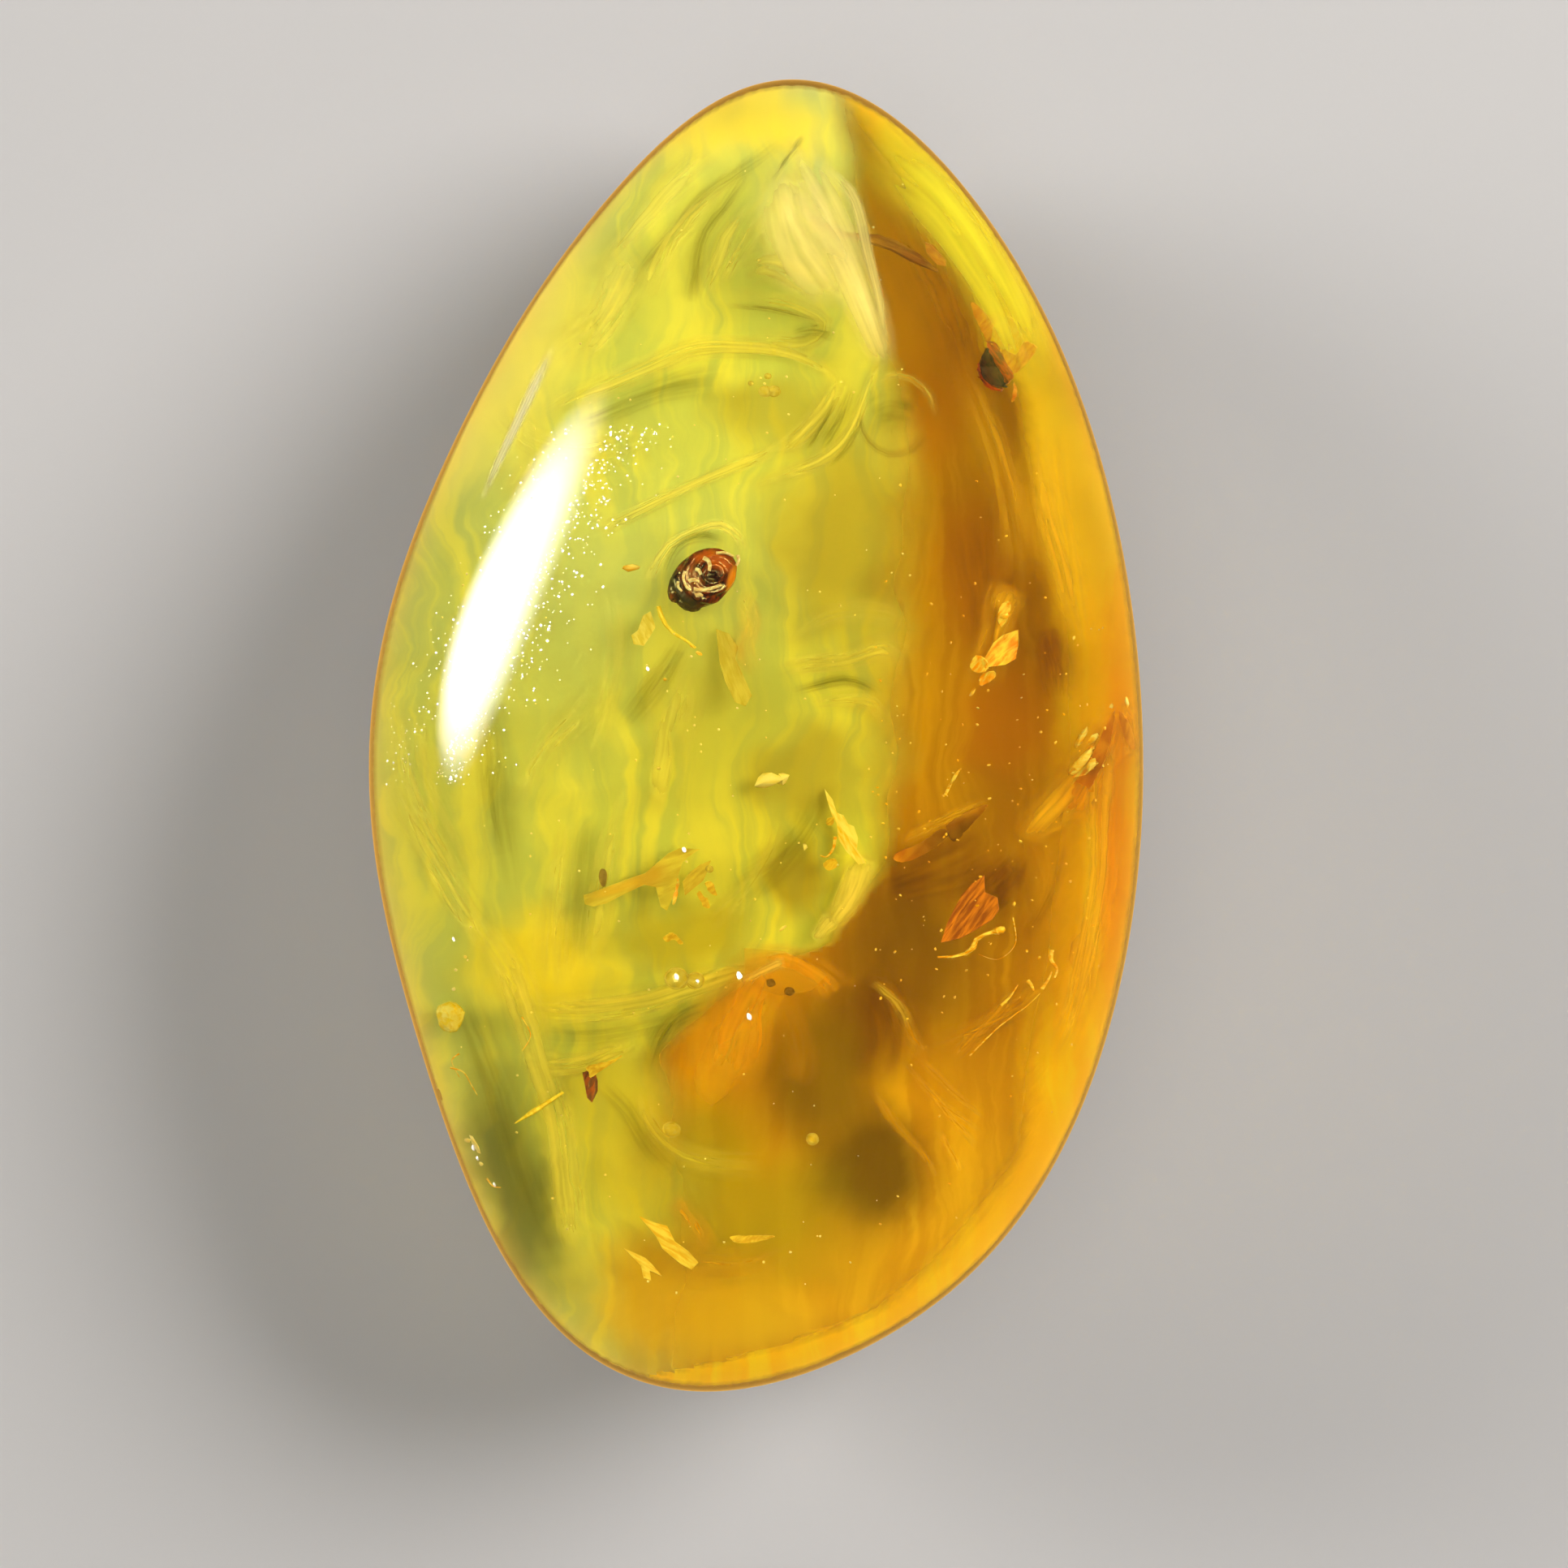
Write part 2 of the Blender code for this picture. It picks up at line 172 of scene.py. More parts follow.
@dataclass(frozen=True)
class Stone:
    """The nugget's own measures, in millimetres, and the formulas for its surface and its parting sheet."""

    length: float = 50.0
    width: float = 29.5
    girdle_height: float = 7.6
    dome_height: float = 10.4
    belly_depth: float = 8.5
    dome_shoulder: float = 0.10
    belly_shoulder: float = 0.24
    summit_shift: Point = (-0.5, -0.8)
    outline_fullness: tuple[float, ...] = (
        (1.002, 0.988, 0.987, 1.005)
        + (0.990, 0.908, 0.877, 0.919)
        + (0.995, 0.989, 1.016, 1.038)
        + (0.995, 0.980, 1.009, 1.018)
    )
    sheet_height: float = 7.9
    sheet_swells: tuple[tuple[float, float, float, float], ...] = (
        (-1.9, 5.6, 4.4, 5.0),
        (-3.0, -6.0, 2.4, 5.0),
        (7.5, -7.0, -1.4, 4.0),
        (4.5, 17.0, 1.2, 4.0),
    )

    def fullness(self, around: float) -> float:
        """Gives the outline's share of a true ellipse, on a smooth wave through every listed value.

        Args:
            around: The angle round from +X, in radians.

        Returns:
            The share, near 1.
        """
        count = len(self.outline_fullness)
        total = 0.0
        for i, value in enumerate(self.outline_fullness):
            half = (around - 2 * math.pi * i / count) / 2
            if abs(math.sin(half)) < 1e-9:
                return value
            total += value * math.sin(count * half) / (count * math.tan(half))
        return total

    def point(self, unit: Vector) -> Vector:
        """Moves a point of the unit sphere to the nugget's surface, before the base is cut flat.

        Args:
            unit: A direction of length 1.

        Returns:
            The surface point, in millimetres.
        """
        around = math.atan2(unit.y, unit.x)
        rise = max(-1.0, min(1.0, unit.z))
        shoulder = self.dome_shoulder if rise > 0 else self.belly_shoulder
        reach = math.sqrt(1 - rise * rise) * (1 + shoulder * rise * rise) * self.fullness(around)
        height = rise * (self.dome_height if rise > 0 else self.belly_depth)
        lean = rise * rise if rise > 0 else 0.0
        return Vector(
            (
                self.width / 2 * reach * math.cos(around) + lean * self.summit_shift[0],
                self.length / 2 * reach * math.sin(around) + lean * self.summit_shift[1],
                self.girdle_height + height,
            )
        )

    def inwardness(self, x: float, y: float) -> float:
        """Gives how far a plan point is out from the middle, as a share of the outline there.

        Args:
            x: The point's place across, in millimetres.
            y: The point's place along, in millimetres.

        Returns:
            0 at the middle, 1 at the outline.
        """
        across = x / (self.width / 2)
        along = y / (self.length / 2)
        return math.hypot(across, along) / self.fullness(math.atan2(along, across))

    def dome(self, x: float, y: float) -> float:
        """Gives the dome's height over a plan point inside the outline.

        Args:
            x: The point's place across, in millimetres.
            y: The point's place along, in millimetres.

        Returns:
            The height above the floor, in millimetres.
        """
        rise = 0.7
        for _ in range(3):
            lean = rise * rise
            back_x = x - lean * self.summit_shift[0]
            back_y = y - lean * self.summit_shift[1]
            share = min(1.0, self.inwardness(back_x, back_y))
            low, high = 0.0, 1.0
            for _ in range(20):
                rise = (low + high) / 2
                reach = math.sqrt(1 - rise * rise) * (1 + self.dome_shoulder * rise * rise)
                low, high = (rise, high) if reach > share else (low, rise)
        return self.girdle_height + rise * self.dome_height

    def sheet(self, x: float, y: float) -> float:
        """Gives the height of the sheet that the sealed things lie on.

        Args:
            x: The point's place across, in millimetres.
            y: The point's place along, in millimetres.

        Returns:
            The height above the floor, in millimetres.
        """
        height = self.sheet_height
        for centre_x, centre_y, rise, spread in self.sheet_swells:
            height += rise * math.exp(-0.5 * (math.hypot(x - centre_x, y - centre_y) / spread) ** 2)
        return height


STONE = Stone()


@dataclass(frozen=True)
class Viewpoint:
    """Where the camera stands: over the nugget, looking straight down. Lengths in millimetres."""

    centre: Point = (1.1, -1.9)
    height: float = 174.0
    lens: float = 100.0

    def eye(self) -> Vector:
        """Gives the camera's place, in millimetres."""
        return Vector((*self.centre, self.height))


VIEW = Viewpoint()


class DomeLens:
    """The bending of sight at the dome: it says where a thing lies that is seen at a place."""

    def __init__(self, body: bpy.types.Object, ior: float, wall: float = 0.35) -> None:
        """Reads the dome's surface.

        Args:
            body: The nugget's own mesh.
            ior: The resin's refractive index.
            wall: The least clear resin left between a sealed thing and the surface, in millimetres.
        """
        corners = [vertex.co / MM for vertex in body.data.vertices]
        self.surface = BVHTree.FromPolygons(corners, [face.vertices for face in body.data.polygons])
        self.ior = ior
        self.wall = wall

    def sight(self, x: float, y: float) -> tuple[Vector, Vector, float]:
        """Follows the camera's line of sight through the surface.

        Args:
            x: The place seen, across, in millimetres.
            y: The place seen, along, in millimetres.

        Returns:
            The entry point, the direction inside, and how far the line stays inside.
        """
        eye = VIEW.eye()
        pull = min(1.0, 0.995 / max(0.001, STONE.inwardness(x, y)))
        line = (Vector((x * pull, y * pull, STONE.girdle_height)) - eye).normalized()
        entry, normal, _, _ = self.surface.ray_cast(eye, line)
        squeeze = 1 / self.ior
        facing = -normal.dot(line)
        bent = squeeze * line + (squeeze * facing - math.sqrt(1 - squeeze**2 * (1 - facing**2))) * normal
        _, _, _, span = self.surface.ray_cast(entry + bent * 0.01, bent)
        return entry, bent, span or 0.0

    def surface_point(self, x: float, y: float) -> Vector:
        """Gives the point of the dome that is seen at a place, in millimetres."""
        return self.sight(x, y)[0]

    def place(self, x: float, y: float, level: PlanValue) -> Vector:
        """Finds the point of a level surface inside that is seen at a place.

        Args:
            x: The place seen, across, in millimetres.
            y: The place seen, along, in millimetres.
            level: The surface's height over each point of the plan.

        Returns:
            The true place, in millimetres, held inside the resin.
        """
        entry, bent, span = self.sight(x, y)
        reach = 0.0
        for _ in range(10):
            here = entry + bent * reach
            wanted = (level(here.x, here.y) - entry.z) / bent.z
            reach += 0.8 * (wanted - reach)
        return entry + bent * max(self.wall, min(reach, span - self.wall))


def ripple(x: float, y: float, grain: float, seed: float) -> float:
    """Gives a smooth wave of -1 to 1 over the plan.

    Args:
        x: The place across, in millimetres.
        y: The place along, in millimetres.
        grain: The wave's usual length, in millimetres.
        seed: Which wave it is.

    Returns:
        The wave's value.
    """
    return noise.noise(Vector((x / grain, y / grain, seed)))


def bed_level(x: float, y: float) -> float:
    """Gives the height of the upper cloud: just under the sealed things, in soft folds."""
    folds = 0.30 * ripple(x + 0.4 * y, y * 0.45, 2.6, 3.0) + 0.12 * ripple(x, y, 1.3, 8.0)
    return STONE.sheet(x, y) - 0.85 + folds


def deep_level(x: float, y: float) -> float:
    """Gives the height of the brown cloud low in the nugget, which climbs towards the wall like a bowl."""
    bowl = 2.0 * smooth((STONE.inwardness(x, y) - 0.45) / 0.5)
    return 4.4 + bowl + 0.5 * ripple(x, y, 4.0, 21.0)


def rim_level(x: float, y: float) -> float:
    """Gives the height of the bright cloud just inside the right wall."""
    return 6.4 + 1.0 * smooth((STONE.inwardness(x, y) - 0.7) / 0.3) + 0.15 * ripple(x, y, 2.0, 51.0)


def between(points: list[Vector], share: float) -> Vector:
    """Gives a point on the smooth curve through some points.

    Args:
        points: The points that the curve runs through.
        share: How far along, from 0 to 1.

    Returns:
        The point.
    """
    place = max(0.0, min(0.9999, share)) * (len(points) - 1)
    step = int(place)
    t = place - step
    before = points[max(step - 1, 0)]
    start, end = points[step], points[step + 1]
    after = points[min(step + 2, len(points) - 1)]
    return 0.5 * (
        2 * start
        + (end - before) * t
        + (2 * before - 5 * start + 4 * end - after) * t**2
        + (3 * start - before - 3 * end + after) * t**3
    )


def grid(name: str, columns: int, rows: int) -> bpy.types.Object:
    """Adds a flat grid from -1 to 1 each way, ready to be bent into a sheet.

    Args:
        name: The object's name.
        columns: The number of cells across.
        rows: The number of cells along.

    Returns:
        The new grid, with a UV map.
    """
    deselect_all()
    bpy.ops.mesh.primitive_grid_add(x_subdivisions=columns, y_subdivisions=rows, size=2.0, calc_uvs=True)
    obj = bpy.context.object
    obj.name = name
    return obj


def keep_vertices(obj: bpy.types.Object, keep: Callable[[Vector], bool]) -> None:
    """Deletes the vertices that a test leaves out.

    Args:
        obj: The mesh object.
        keep: Says if the vertex at a place stays.
    """
    select_only(obj)
    bpy.ops.object.mode_set(mode="EDIT")
    bpy.ops.mesh.select_all(action="DESELECT")
    bpy.ops.object.mode_set(mode="OBJECT")
    for vertex in obj.data.vertices:
        vertex.select = not keep(vertex.co)
    bpy.ops.object.mode_set(mode="EDIT")
    bpy.ops.mesh.delete(type="VERT")
    bpy.ops.object.mode_set(mode="OBJECT")


def write_seen_map(obj: bpy.types.Object, seen: list[Point]) -> None:
    """Writes each vertex's place as seen from above into the UV map, as shares of the length.

    Args:
        obj: The mesh object.
        seen: The place of each vertex, in millimetres.
    """
    layer = obj.data.uv_layers.active.data
    for loop in obj.data.loops:
        x, y = seen[loop.vertex_index]
        layer[loop.index].uv = (x / STONE.length + 0.5, y / STONE.length + 0.5)


def write_share(obj: bpy.types.Object, name: str, values: list[float]) -> None:
    """Stores one number for each vertex, for a material to read.

    Args:
        obj: The mesh object.
        name: The attribute's name.
        values: The number of each vertex.
    """
    attribute = obj.data.attributes.new(name, "FLOAT", "POINT")
    attribute.data.foreach_set("value", values)


def dress(obj: bpy.types.Object, material: bpy.types.Material) -> bpy.types.Object:
    """Gives a new piece its material, and lets it ride on the nugget.

    Args:
        obj: The piece.
        material: Its material.

    Returns:
        The same piece.
    """
    obj.data.materials.clear()
    obj.data.materials.append(material)
    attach(obj, "root")
    return obj


@dataclass(frozen=True)
class ClearAmber:
    """Fossil resin, ground and polished: clear, a little denser to blue light than to green."""

    name: str = "polished_fossil_resin"
    ior: float = 1.54
    roughness: float = 0.0
    body_colour: tuple[float, float, float] = (0.987, 0.900, 0.30)
    density_per_m: float = 200.0

    def material(self) -> bpy.types.Material:
        """Makes the see-through material. Its colour comes from the depth of resin that light crosses."""
        made = bpy.data.materials.new(self.name)
        made.use_nodes = True
        tree = made.node_tree
        shader = tree.nodes["Principled BSDF"]
        shader.inputs["Base Color"].default_value = (1.0, 1.0, 1.0, 1.0)
        shader.inputs["Transmission Weight"].default_value = 1.0
        shader.inputs["IOR"].default_value = self.ior
        shader.inputs["Roughness"].default_value = self.roughness
        body = add_node(
            tree, "VolumeAbsorption", {"Color": (*self.body_colour, 1.0), "Density": self.density_per_m}
        )
        tree.links.new(body.outputs[0], tree.nodes["Material Output"].inputs["Volume"])
        return made


@dataclass
class Nugget:
    """The amber itself, one clear piece that stands for both halves."""

    subdivisions: int = 7
    finish: ClearAmber = ClearAmber()

    def build(self) -> bpy.types.Object:
        """Shapes the nugget from a sphere and cuts its base flat.

        Returns:
            The finished piece.
        """
        deselect_all()
        bpy.ops.mesh.primitive_ico_sphere_add(subdivisions=self.subdivisions, radius=1.0)
        body = bpy.context.object
        body.name = "amber_body"
        for vertex in body.data.vertices:
            vertex.co = STONE.point(vertex.co.normalized()) * MM
        bpy.ops.object.mode_set(mode="EDIT")
        bpy.ops.mesh.select_all(action="SELECT")
        bpy.ops.mesh.bisect(
            plane_co=(0, 0, 0), plane_no=(0, 0, 1), use_fill=True, clear_inner=True, threshold=1e-6
        )
        bpy.ops.object.mode_set(mode="OBJECT")
        bpy.ops.object.shade_smooth_by_angle(angle=math.radians(30))
        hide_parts("amber_upper", "amber_lower")
        return dress(body, self.finish.material())


@dataclass(frozen=True)
class Patch:
    """A soft spot of another colour, as seen from above: place, spreads and turn, in mm and degrees."""

    x: float
    y: float
    wide: float
    tall: float
    turn: float
    colour: str
    strength: float = 0.8


def add_patches(
    tree: bpy.types.NodeTree,
    place: bpy.types.NodeSocket,
    colour: bpy.types.NodeSocket,
    patches: tuple[Patch, ...],
) -> bpy.types.NodeSocket:
    """Lays soft spots of other colours over a colour.

    Args:
        tree: The material's node tree.
        place: The socket with each point's place, in millimetres.
        colour: The socket with the colour under the spots.
        patches: The spots.

    Returns:
        The socket with the result.
    """
    for patch in patches:
        spot = add_node(
            tree,
            "Mapping",
            {
                "vector_type": "TEXTURE",
                "Location": (patch.x, patch.y, 0),
                "Rotation": (0, 0, math.radians(patch.turn)),
                "Scale": (patch.wide, patch.tall, 1),
            },
            {"Vector": place},
        )
        flat = add_node(tree, "VectorMath", {"operation": "MULTIPLY", 1: (1, 1, 0)}, {0: spot.outputs[0]})
        away = add_node(tree, "VectorMath", {"operation": "LENGTH"}, {0: flat.outputs[0]})
        amount = add_node(
            tree,
            "MapRange",
            {"interpolation_type": "SMOOTHSTEP", 1: 1.25, 2: 0.35, 3: 0.0, 4: patch.strength},
            {0: away.outputs["Value"]},
        )
        colour = add_node(
            tree, "Mix", {"data_type": "RGBA", 7: linear(patch.colour)}, {0: amount.outputs[0], 6: colour}
        ).outputs[2]
    return colour


@dataclass(frozen=True)
class CloudFinish:
    """Cloudy resin: a fog of bubbles too small to see, which scatters pale light in drawn-out swirls."""

    name: str
    ground: str
    vein: str
    patches: tuple[Patch, ...]
    swirl_mm: float = 5.0
    drift_mm: float = 2.2
    vein_mm: float = 1.1
    opacity: float = 1.0

    def material(self) -> bpy.types.Material:
        """Makes the cloudy finish.

        Returns:
            The material, which reads where each point is seen from above and the sheet's own cover.
        """
        made = bpy.data.materials.new(self.name)
        made.use_nodes = True
        tree = made.node_tree
        shader = tree.nodes["Principled BSDF"]
        shader.inputs["Roughness"].default_value = 1.0
        shader.inputs["Specular IOR Level"].default_value = 0.0
        uv = add_node(tree, "UVMap", {"uv_map": "UVMap"})
        seen = add_node(
            tree,
            "VectorMath",
            {
                "operation": "MULTIPLY_ADD",
                1: (STONE.length, STONE.length, 0),
                2: (-STONE.length / 2, -STONE.length / 2, 0),
            },
            {0: uv.outputs[0]},
        )
        swirl = add_node(
            tree, "TexNoise", {"Scale": 1 / self.swirl_mm, "Detail": 3.0}, {"Vector": seen.outputs[0]}
        )
        drift = add_node(
            tree,
            "VectorMath",
            {"operation": "MULTIPLY_ADD", 1: (2 * self.drift_mm,) * 3, 2: (-self.drift_mm,) * 3},
            {0: swirl.outputs["Color"]},
        )
        bent = add_node(
            tree, "VectorMath", {"operation": "ADD"}, {0: seen.outputs[0], 1: drift.outputs[0]}
        )
        flow = add_node(
            tree,
            "Mapping",
            {"Rotation": (0, 0, math.radians(-28)), "Scale": (1 / self.vein_mm, 0.12 / self.vein_mm, 0)},
            {"Vector": bent.outputs[0]},
        )
        veins = add_node(
            tree,
            "TexNoise",
            {"Scale": 1.0, "Detail": 4.0, "Distortion": 0.6},
            {"Vector": flow.outputs[0]},
        )
        share = add_node(
            tree,
            "MapRange",
            {"interpolation_type": "SMOOTHSTEP", 1: 0.38, 2: 0.66},
            {0: veins.outputs["Fac"]},
        )
        colour = add_node(
            tree,
            "Mix",
            {"data_type": "RGBA", 6: linear(self.ground), 7: linear(self.vein)},
            {0: share.outputs[0]},
        ).outputs[2]
        colour = add_patches(tree, bent.outputs[0], colour, self.patches)
        tree.links.new(colour, shader.inputs["Base Color"])
        cover = add_node(tree, "Attribute", {"attribute_name": "cover"})
        alpha = add_node(
            tree, "Math", {"operation": "MULTIPLY", 1: self.opacity}, {0: cover.outputs["Fac"]}
        )
        tree.links.new(alpha.outputs[0], shader.inputs["Alpha"])
        return made


@dataclass
class CloudSheets:
    """The cloudy layers: a pale one on the left, a brown one low down and a bright one along the rim."""

    lens: DomeLens
    columns: int = 120
    rows: int = 204
    edge: float = 0.996
    haze_edge: tuple[Point, ...] = (
        (3.2, 24.9), (3.9, 20.6), (4.6, 15.0), (5.4, 12.6), (5.7, 9.4), (5.1, 3.2), (5.0, -1.4), (4.9, -3.3),
        (4.7, -4.9), (3.7, -6.4), (2.7, -8.0), (0.0, -9.2), (-1.8, -10.1), (-3.6, -12.3), (-3.4, -15.5),
        (-3.0, -19.0), (-4.0, -25.0),
    )  # fmt: skip
    haze_softness: tuple[Point, ...] = (
        (24.9, 1.6), (15.0, 1.2), (12.0, 2.6), (3.0, 3.6), (-2.0, 2.8), (-4.0, 1.4), (-8.0, 1.6),
        (-12.0, 2.0), (-16.0, 5.0), (-25.0, 6.0),
    )  # fmt: skip
    glow_softness: tuple[Point, ...] = ((24.9, 1.6), (13.0, 1.3), (6.0, 2.0), (0.0, 3.4), (-10.0, 3.2),
                                        (-15.0, 1.3), (-25.0, 1.3))
    glow_edge: tuple[Point, ...] = (
        (2.6, 24.9), (5.0, 21.9), (6.9, 19.5), (8.0, 17.4), (8.7, 14.8), (9.9, 13.4), (10.5, 10.5),
        (11.1, 7.5), (11.9, 4.4), (12.0, 0.1), (11.7, -3.0), (11.2, -6.2), (10.7, -10.4), (10.3, -13.7),
        (9.9, -15.9), (8.4, -18.3), (6.7, -20.2), (4.6, -21.9), (1.8, -23.1), (-1.5, -23.9), (-6.0, -24.9),
    )  # fmt: skip

    @staticmethod
    def across(line: tuple[Point, ...], y: float) -> float:
        """Gives where a line that runs down the nugget is, across, at a place along it."""
        for (x1, y1), (x2, y2) in zip(line, line[1:]):
            if y2 <= y <= y1:
                return x1 + (x2 - x1) * (y1 - y) / (y1 - y2)
        return line[-1][0]

    @staticmethod
    def softness(y: float, line: tuple[Point, ...]) -> float:
        """Gives how soft a cloud's edge is at a place along the nugget, in millimetres."""
        for (y1, wide1), (y2, wide2) in zip(line, line[1:]):
            if y2 <= y <= y1:
                return wide1 + (wide2 - wide1) * (y1 - y) / (y1 - y2)
        return line[-1][1]

    def rim(self, x: float, y: float) -> float:
        """Gives the cover that fades out only just inside the outline."""
        return smooth((self.edge + 0.002 - STONE.inwardness(x, y)) / 0.010)

    def haze(self, x: float, y: float) -> float:
        """Gives the pale cloud's cover at a seen place."""
        wide = self.softness(y, self.haze_softness)
        wave = 0.5 * ripple(x, y, 2.2, 31.0) * min(1.0, wide / 2)
        return self.rim(x, y) * smooth((self.across(self.haze_edge, y) - x + wave + wide / 2) / wide)

    def glow(self, x: float, y: float) -> float:
        """Gives the cover of the bright cloud along the right and lower rim."""
        wave = 0.35 * ripple(x, y, 3.0, 41.0)
        wide = self.softness(y, self.glow_softness)
        return self.rim(x, y) * smooth((x - self.across(self.glow_edge, y) + wave + 0.4 * wide) / wide)

    def sheet(
        self, name: str, level: PlanValue, cover: PlanValue, finish: CloudFinish
    ) -> bpy.types.Object:
        """Bends one grid into a layer.

        Args:
            name: The piece's name.
            level: The layer's height over the plan.
            cover: How well the layer hides what is under it at a seen place, from 0 to 1.
            finish: Its finish.

        Returns:
            The finished piece.
        """
        obj = grid(name, self.columns, self.rows)
        for vertex in obj.data.vertices:
            across, along = vertex.co.x, vertex.co.y
            disc = Vector((across * math.sqrt(1 - along**2 / 2), along * math.sqrt(1 - across**2 / 2), 0))
            disc *= self.edge * STONE.fullness(math.atan2(disc.y, disc.x))
            vertex.co = Vector((disc.x * STONE.width / 2, disc.y * STONE.length / 2, 0))
        keep_vertices(obj, lambda spot: cover(spot.x, spot.y) > 0)
        seen = [(vertex.co.x, vertex.co.y) for vertex in obj.data.vertices]
        write_seen_map(obj, seen)
        write_share(obj, "cover", [cover(x, y) for x, y in seen])
        for vertex, (x, y) in zip(obj.data.vertices, seen):
            vertex.co = self.lens.place(x, y, level) * MM
        select_only(obj)
        bpy.ops.object.shade_smooth()
        return dress(obj, finish.material())

    def build(self) -> list[bpy.types.Object]:
        """Builds the layers."""
        pale = CloudFinish(
            "pale_cloudy_resin",
            ground="#C2DAAC",
            vein="#E4F09C",
            patches=(
                Patch(-9.5, 15.0, 3.4, 6.5, -28, "#FAFFB8", 0.85),
                Patch(-1.0, 23.6, 4.5, 2.0, 0, "#FFF470", 0.85),
                Patch(-2.5, 19.0, 1.6, 3.4, -25, "#E2F2A8", 0.7),
                Patch(-7.0, 3.5, 3.4, 6.0, -20, "#C4DCC0", 0.8),
                Patch(0.5, 12.3, 3.0, 1.7, 20, "#A9A758", 0.6),
                Patch(3.6, 7.5, 3.4, 5.0, 0, "#A8A04E", 0.8),
                Patch(-1.5, 0.5, 2.6, 3.6, -20, "#C4D494", 0.6),
                Patch(2.2, -1.6, 2.6, 2.2, 0, "#B4B474", 0.75),
                Patch(-8.0, -9.2, 3.0, 2.6, 0, "#FFF864", 0.85),
                Patch(-3.0, -7.4, 2.8, 1.6, 10, "#B8B43C", 0.7),
                Patch(1.5, -5.6, 1.4, 1.8, 30, "#9A8A28", 0.7),
                # Painted shade: this dark blue-olive spot stands for darkness seen through the resin low on
                # the left.
                Patch(-9.2, -17.9, 1.6, 5.0, 14, "#74806A", 0.8),
                Patch(-5.0, -16.0, 1.8, 4.5, 14, "#D8D870", 0.6),
                Patch(-3.0, -21.5, 4.5, 2.6, 0, "#F0C830", 0.85),
            ),
        )
        deep = CloudFinish(
            "brown_cloudy_resin",
            ground="#D6AE34",
            vein="#EAC840",
            patches=(
                Patch(8.6, 6.4, 2.2, 4.0, 0, "#D09830", 0.8),
                Patch(9.6, 0.5, 1.8, 2.8, 0, "#D89C2C", 0.8),
                # Painted shade: this dark olive-brown spot stands for the darkness deep inside the resin low
                # on the right.
                Patch(4.1, -16.7, 3.2, 2.6, 15, "#64541A", 0.9),
                Patch(6.9, 14.0, 2.0, 4.0, 0, "#F4BC3C", 0.8),
                Patch(6.2, 18.6, 2.6, 5.6, -16, "#FFD450", 0.9),
                Patch(4.2, 20.6, 1.4, 3.6, -14, "#F8CC4C", 0.8),
                Patch(3.0, -19.5, 2.6, 2.0, 0, "#C8A838", 0.5),
                Patch(5.4, -8.5, 3.6, 4.4, 0, "#94762A", 0.85),
                Patch(2.4, -12.9, 3.2, 3.6, 0, "#7C6C26", 0.85),
                Patch(-1.8, -15.4, 2.4, 2.2, 0, "#A4A234", 0.8),
                Patch(7.9, -12.6, 1.6, 1.8, 30, "#CCA43C", 0.6),
                Patch(-1.0, -18.5, 5.0, 3.2, 0, "#A8A844", 0.8),
                Patch(-1.5, -22.3, 4.5, 2.0, 0, "#E8CC50", 0.85),
            ),
            drift_mm=1.2,
        )
        glow = CloudFinish(
            "bright_rim_cloud",
            ground="#FFD018",
            vein="#FFE428",
            patches=(
                Patch(8.6, 19.5, 2.2, 5.5, 33, "#FFFF50", 0.95),
                Patch(11.8, 10.0, 1.5, 6.0, 12, "#FFE850", 0.8),
                Patch(13.9, -2.0, 0.8, 9.0, 0, "#FF9C18", 0.6),
                Patch(10.2, -17.5, 1.6, 5.0, -33, "#FFD028", 0.6),
            ),
            drift_mm=0.8,
            opacity=0.95,
        )
        return [
            self.sheet("pale_cloud", bed_level, self.haze, pale),
            self.sheet("brown_cloud", deep_level, self.rim, deep),
            self.sheet("rim_cloud", rim_level, self.glow, glow),
        ]


class Tone(Enum):
    """The tones of the drawn-out swirls, with their colours; the dark olive tone is painted shade."""

    CREAM = "#FBFAA8"
    MILK = "#FFFAD8"
    # Painted shade: dark olive wisps lie in the gaps between the pale veils and under their bright edges,
    # where shade falls.
    OLIVE_SHADE = "#7C8026"
    GOLD = "#FFD048"
    ORANGE = "#FFBA24"
    YELLOW = "#FFF438"
    BROWN = "#8A5210"

    @property
    def line_depth(self) -> float:
        """How deep the fine lines are in a wisp of this tone: less in the broad, even veils."""
        return 0.6 if self in (Tone.MILK, Tone.YELLOW) else 0.8


class Layer(Enum):
    """The depths at which wisps lie."""

    PALE = "just over the pale cloud"
    HIGH = "well over the pale cloud"
    CRACK = "halfway up to the dome"
    BROWN = "just over the brown cloud"
    RIM = "just over the bright rim cloud"
    SKIN = "close under the dome"

    def height(self, x: float, y: float) -> float:
        """Gives the layer's height over the floor at a place, in millimetres."""
        if self is Layer.BROWN:
            return deep_level(x, y) + 0.3
        if self is Layer.RIM:
            return max(rim_level(x, y), STONE.sheet(x, y) - 1.0) + 0.35
        if self is Layer.SKIN:
            return STONE.girdle_height + STONE.dome_height
        return bed_level(x, y) + {Layer.PALE: 0.25, Layer.HIGH: 0.8, Layer.CRACK: 2.6}[self]


@dataclass(frozen=True)
class Streak:
    """One drawn-out wisp of cloud: its route as seen from above, its width, strength, layer and taper."""

    tone: Tone
    width: float
    strength: float
    route: tuple[Point, ...]
    layer: Layer = Layer.PALE
    taper: float = 1.0


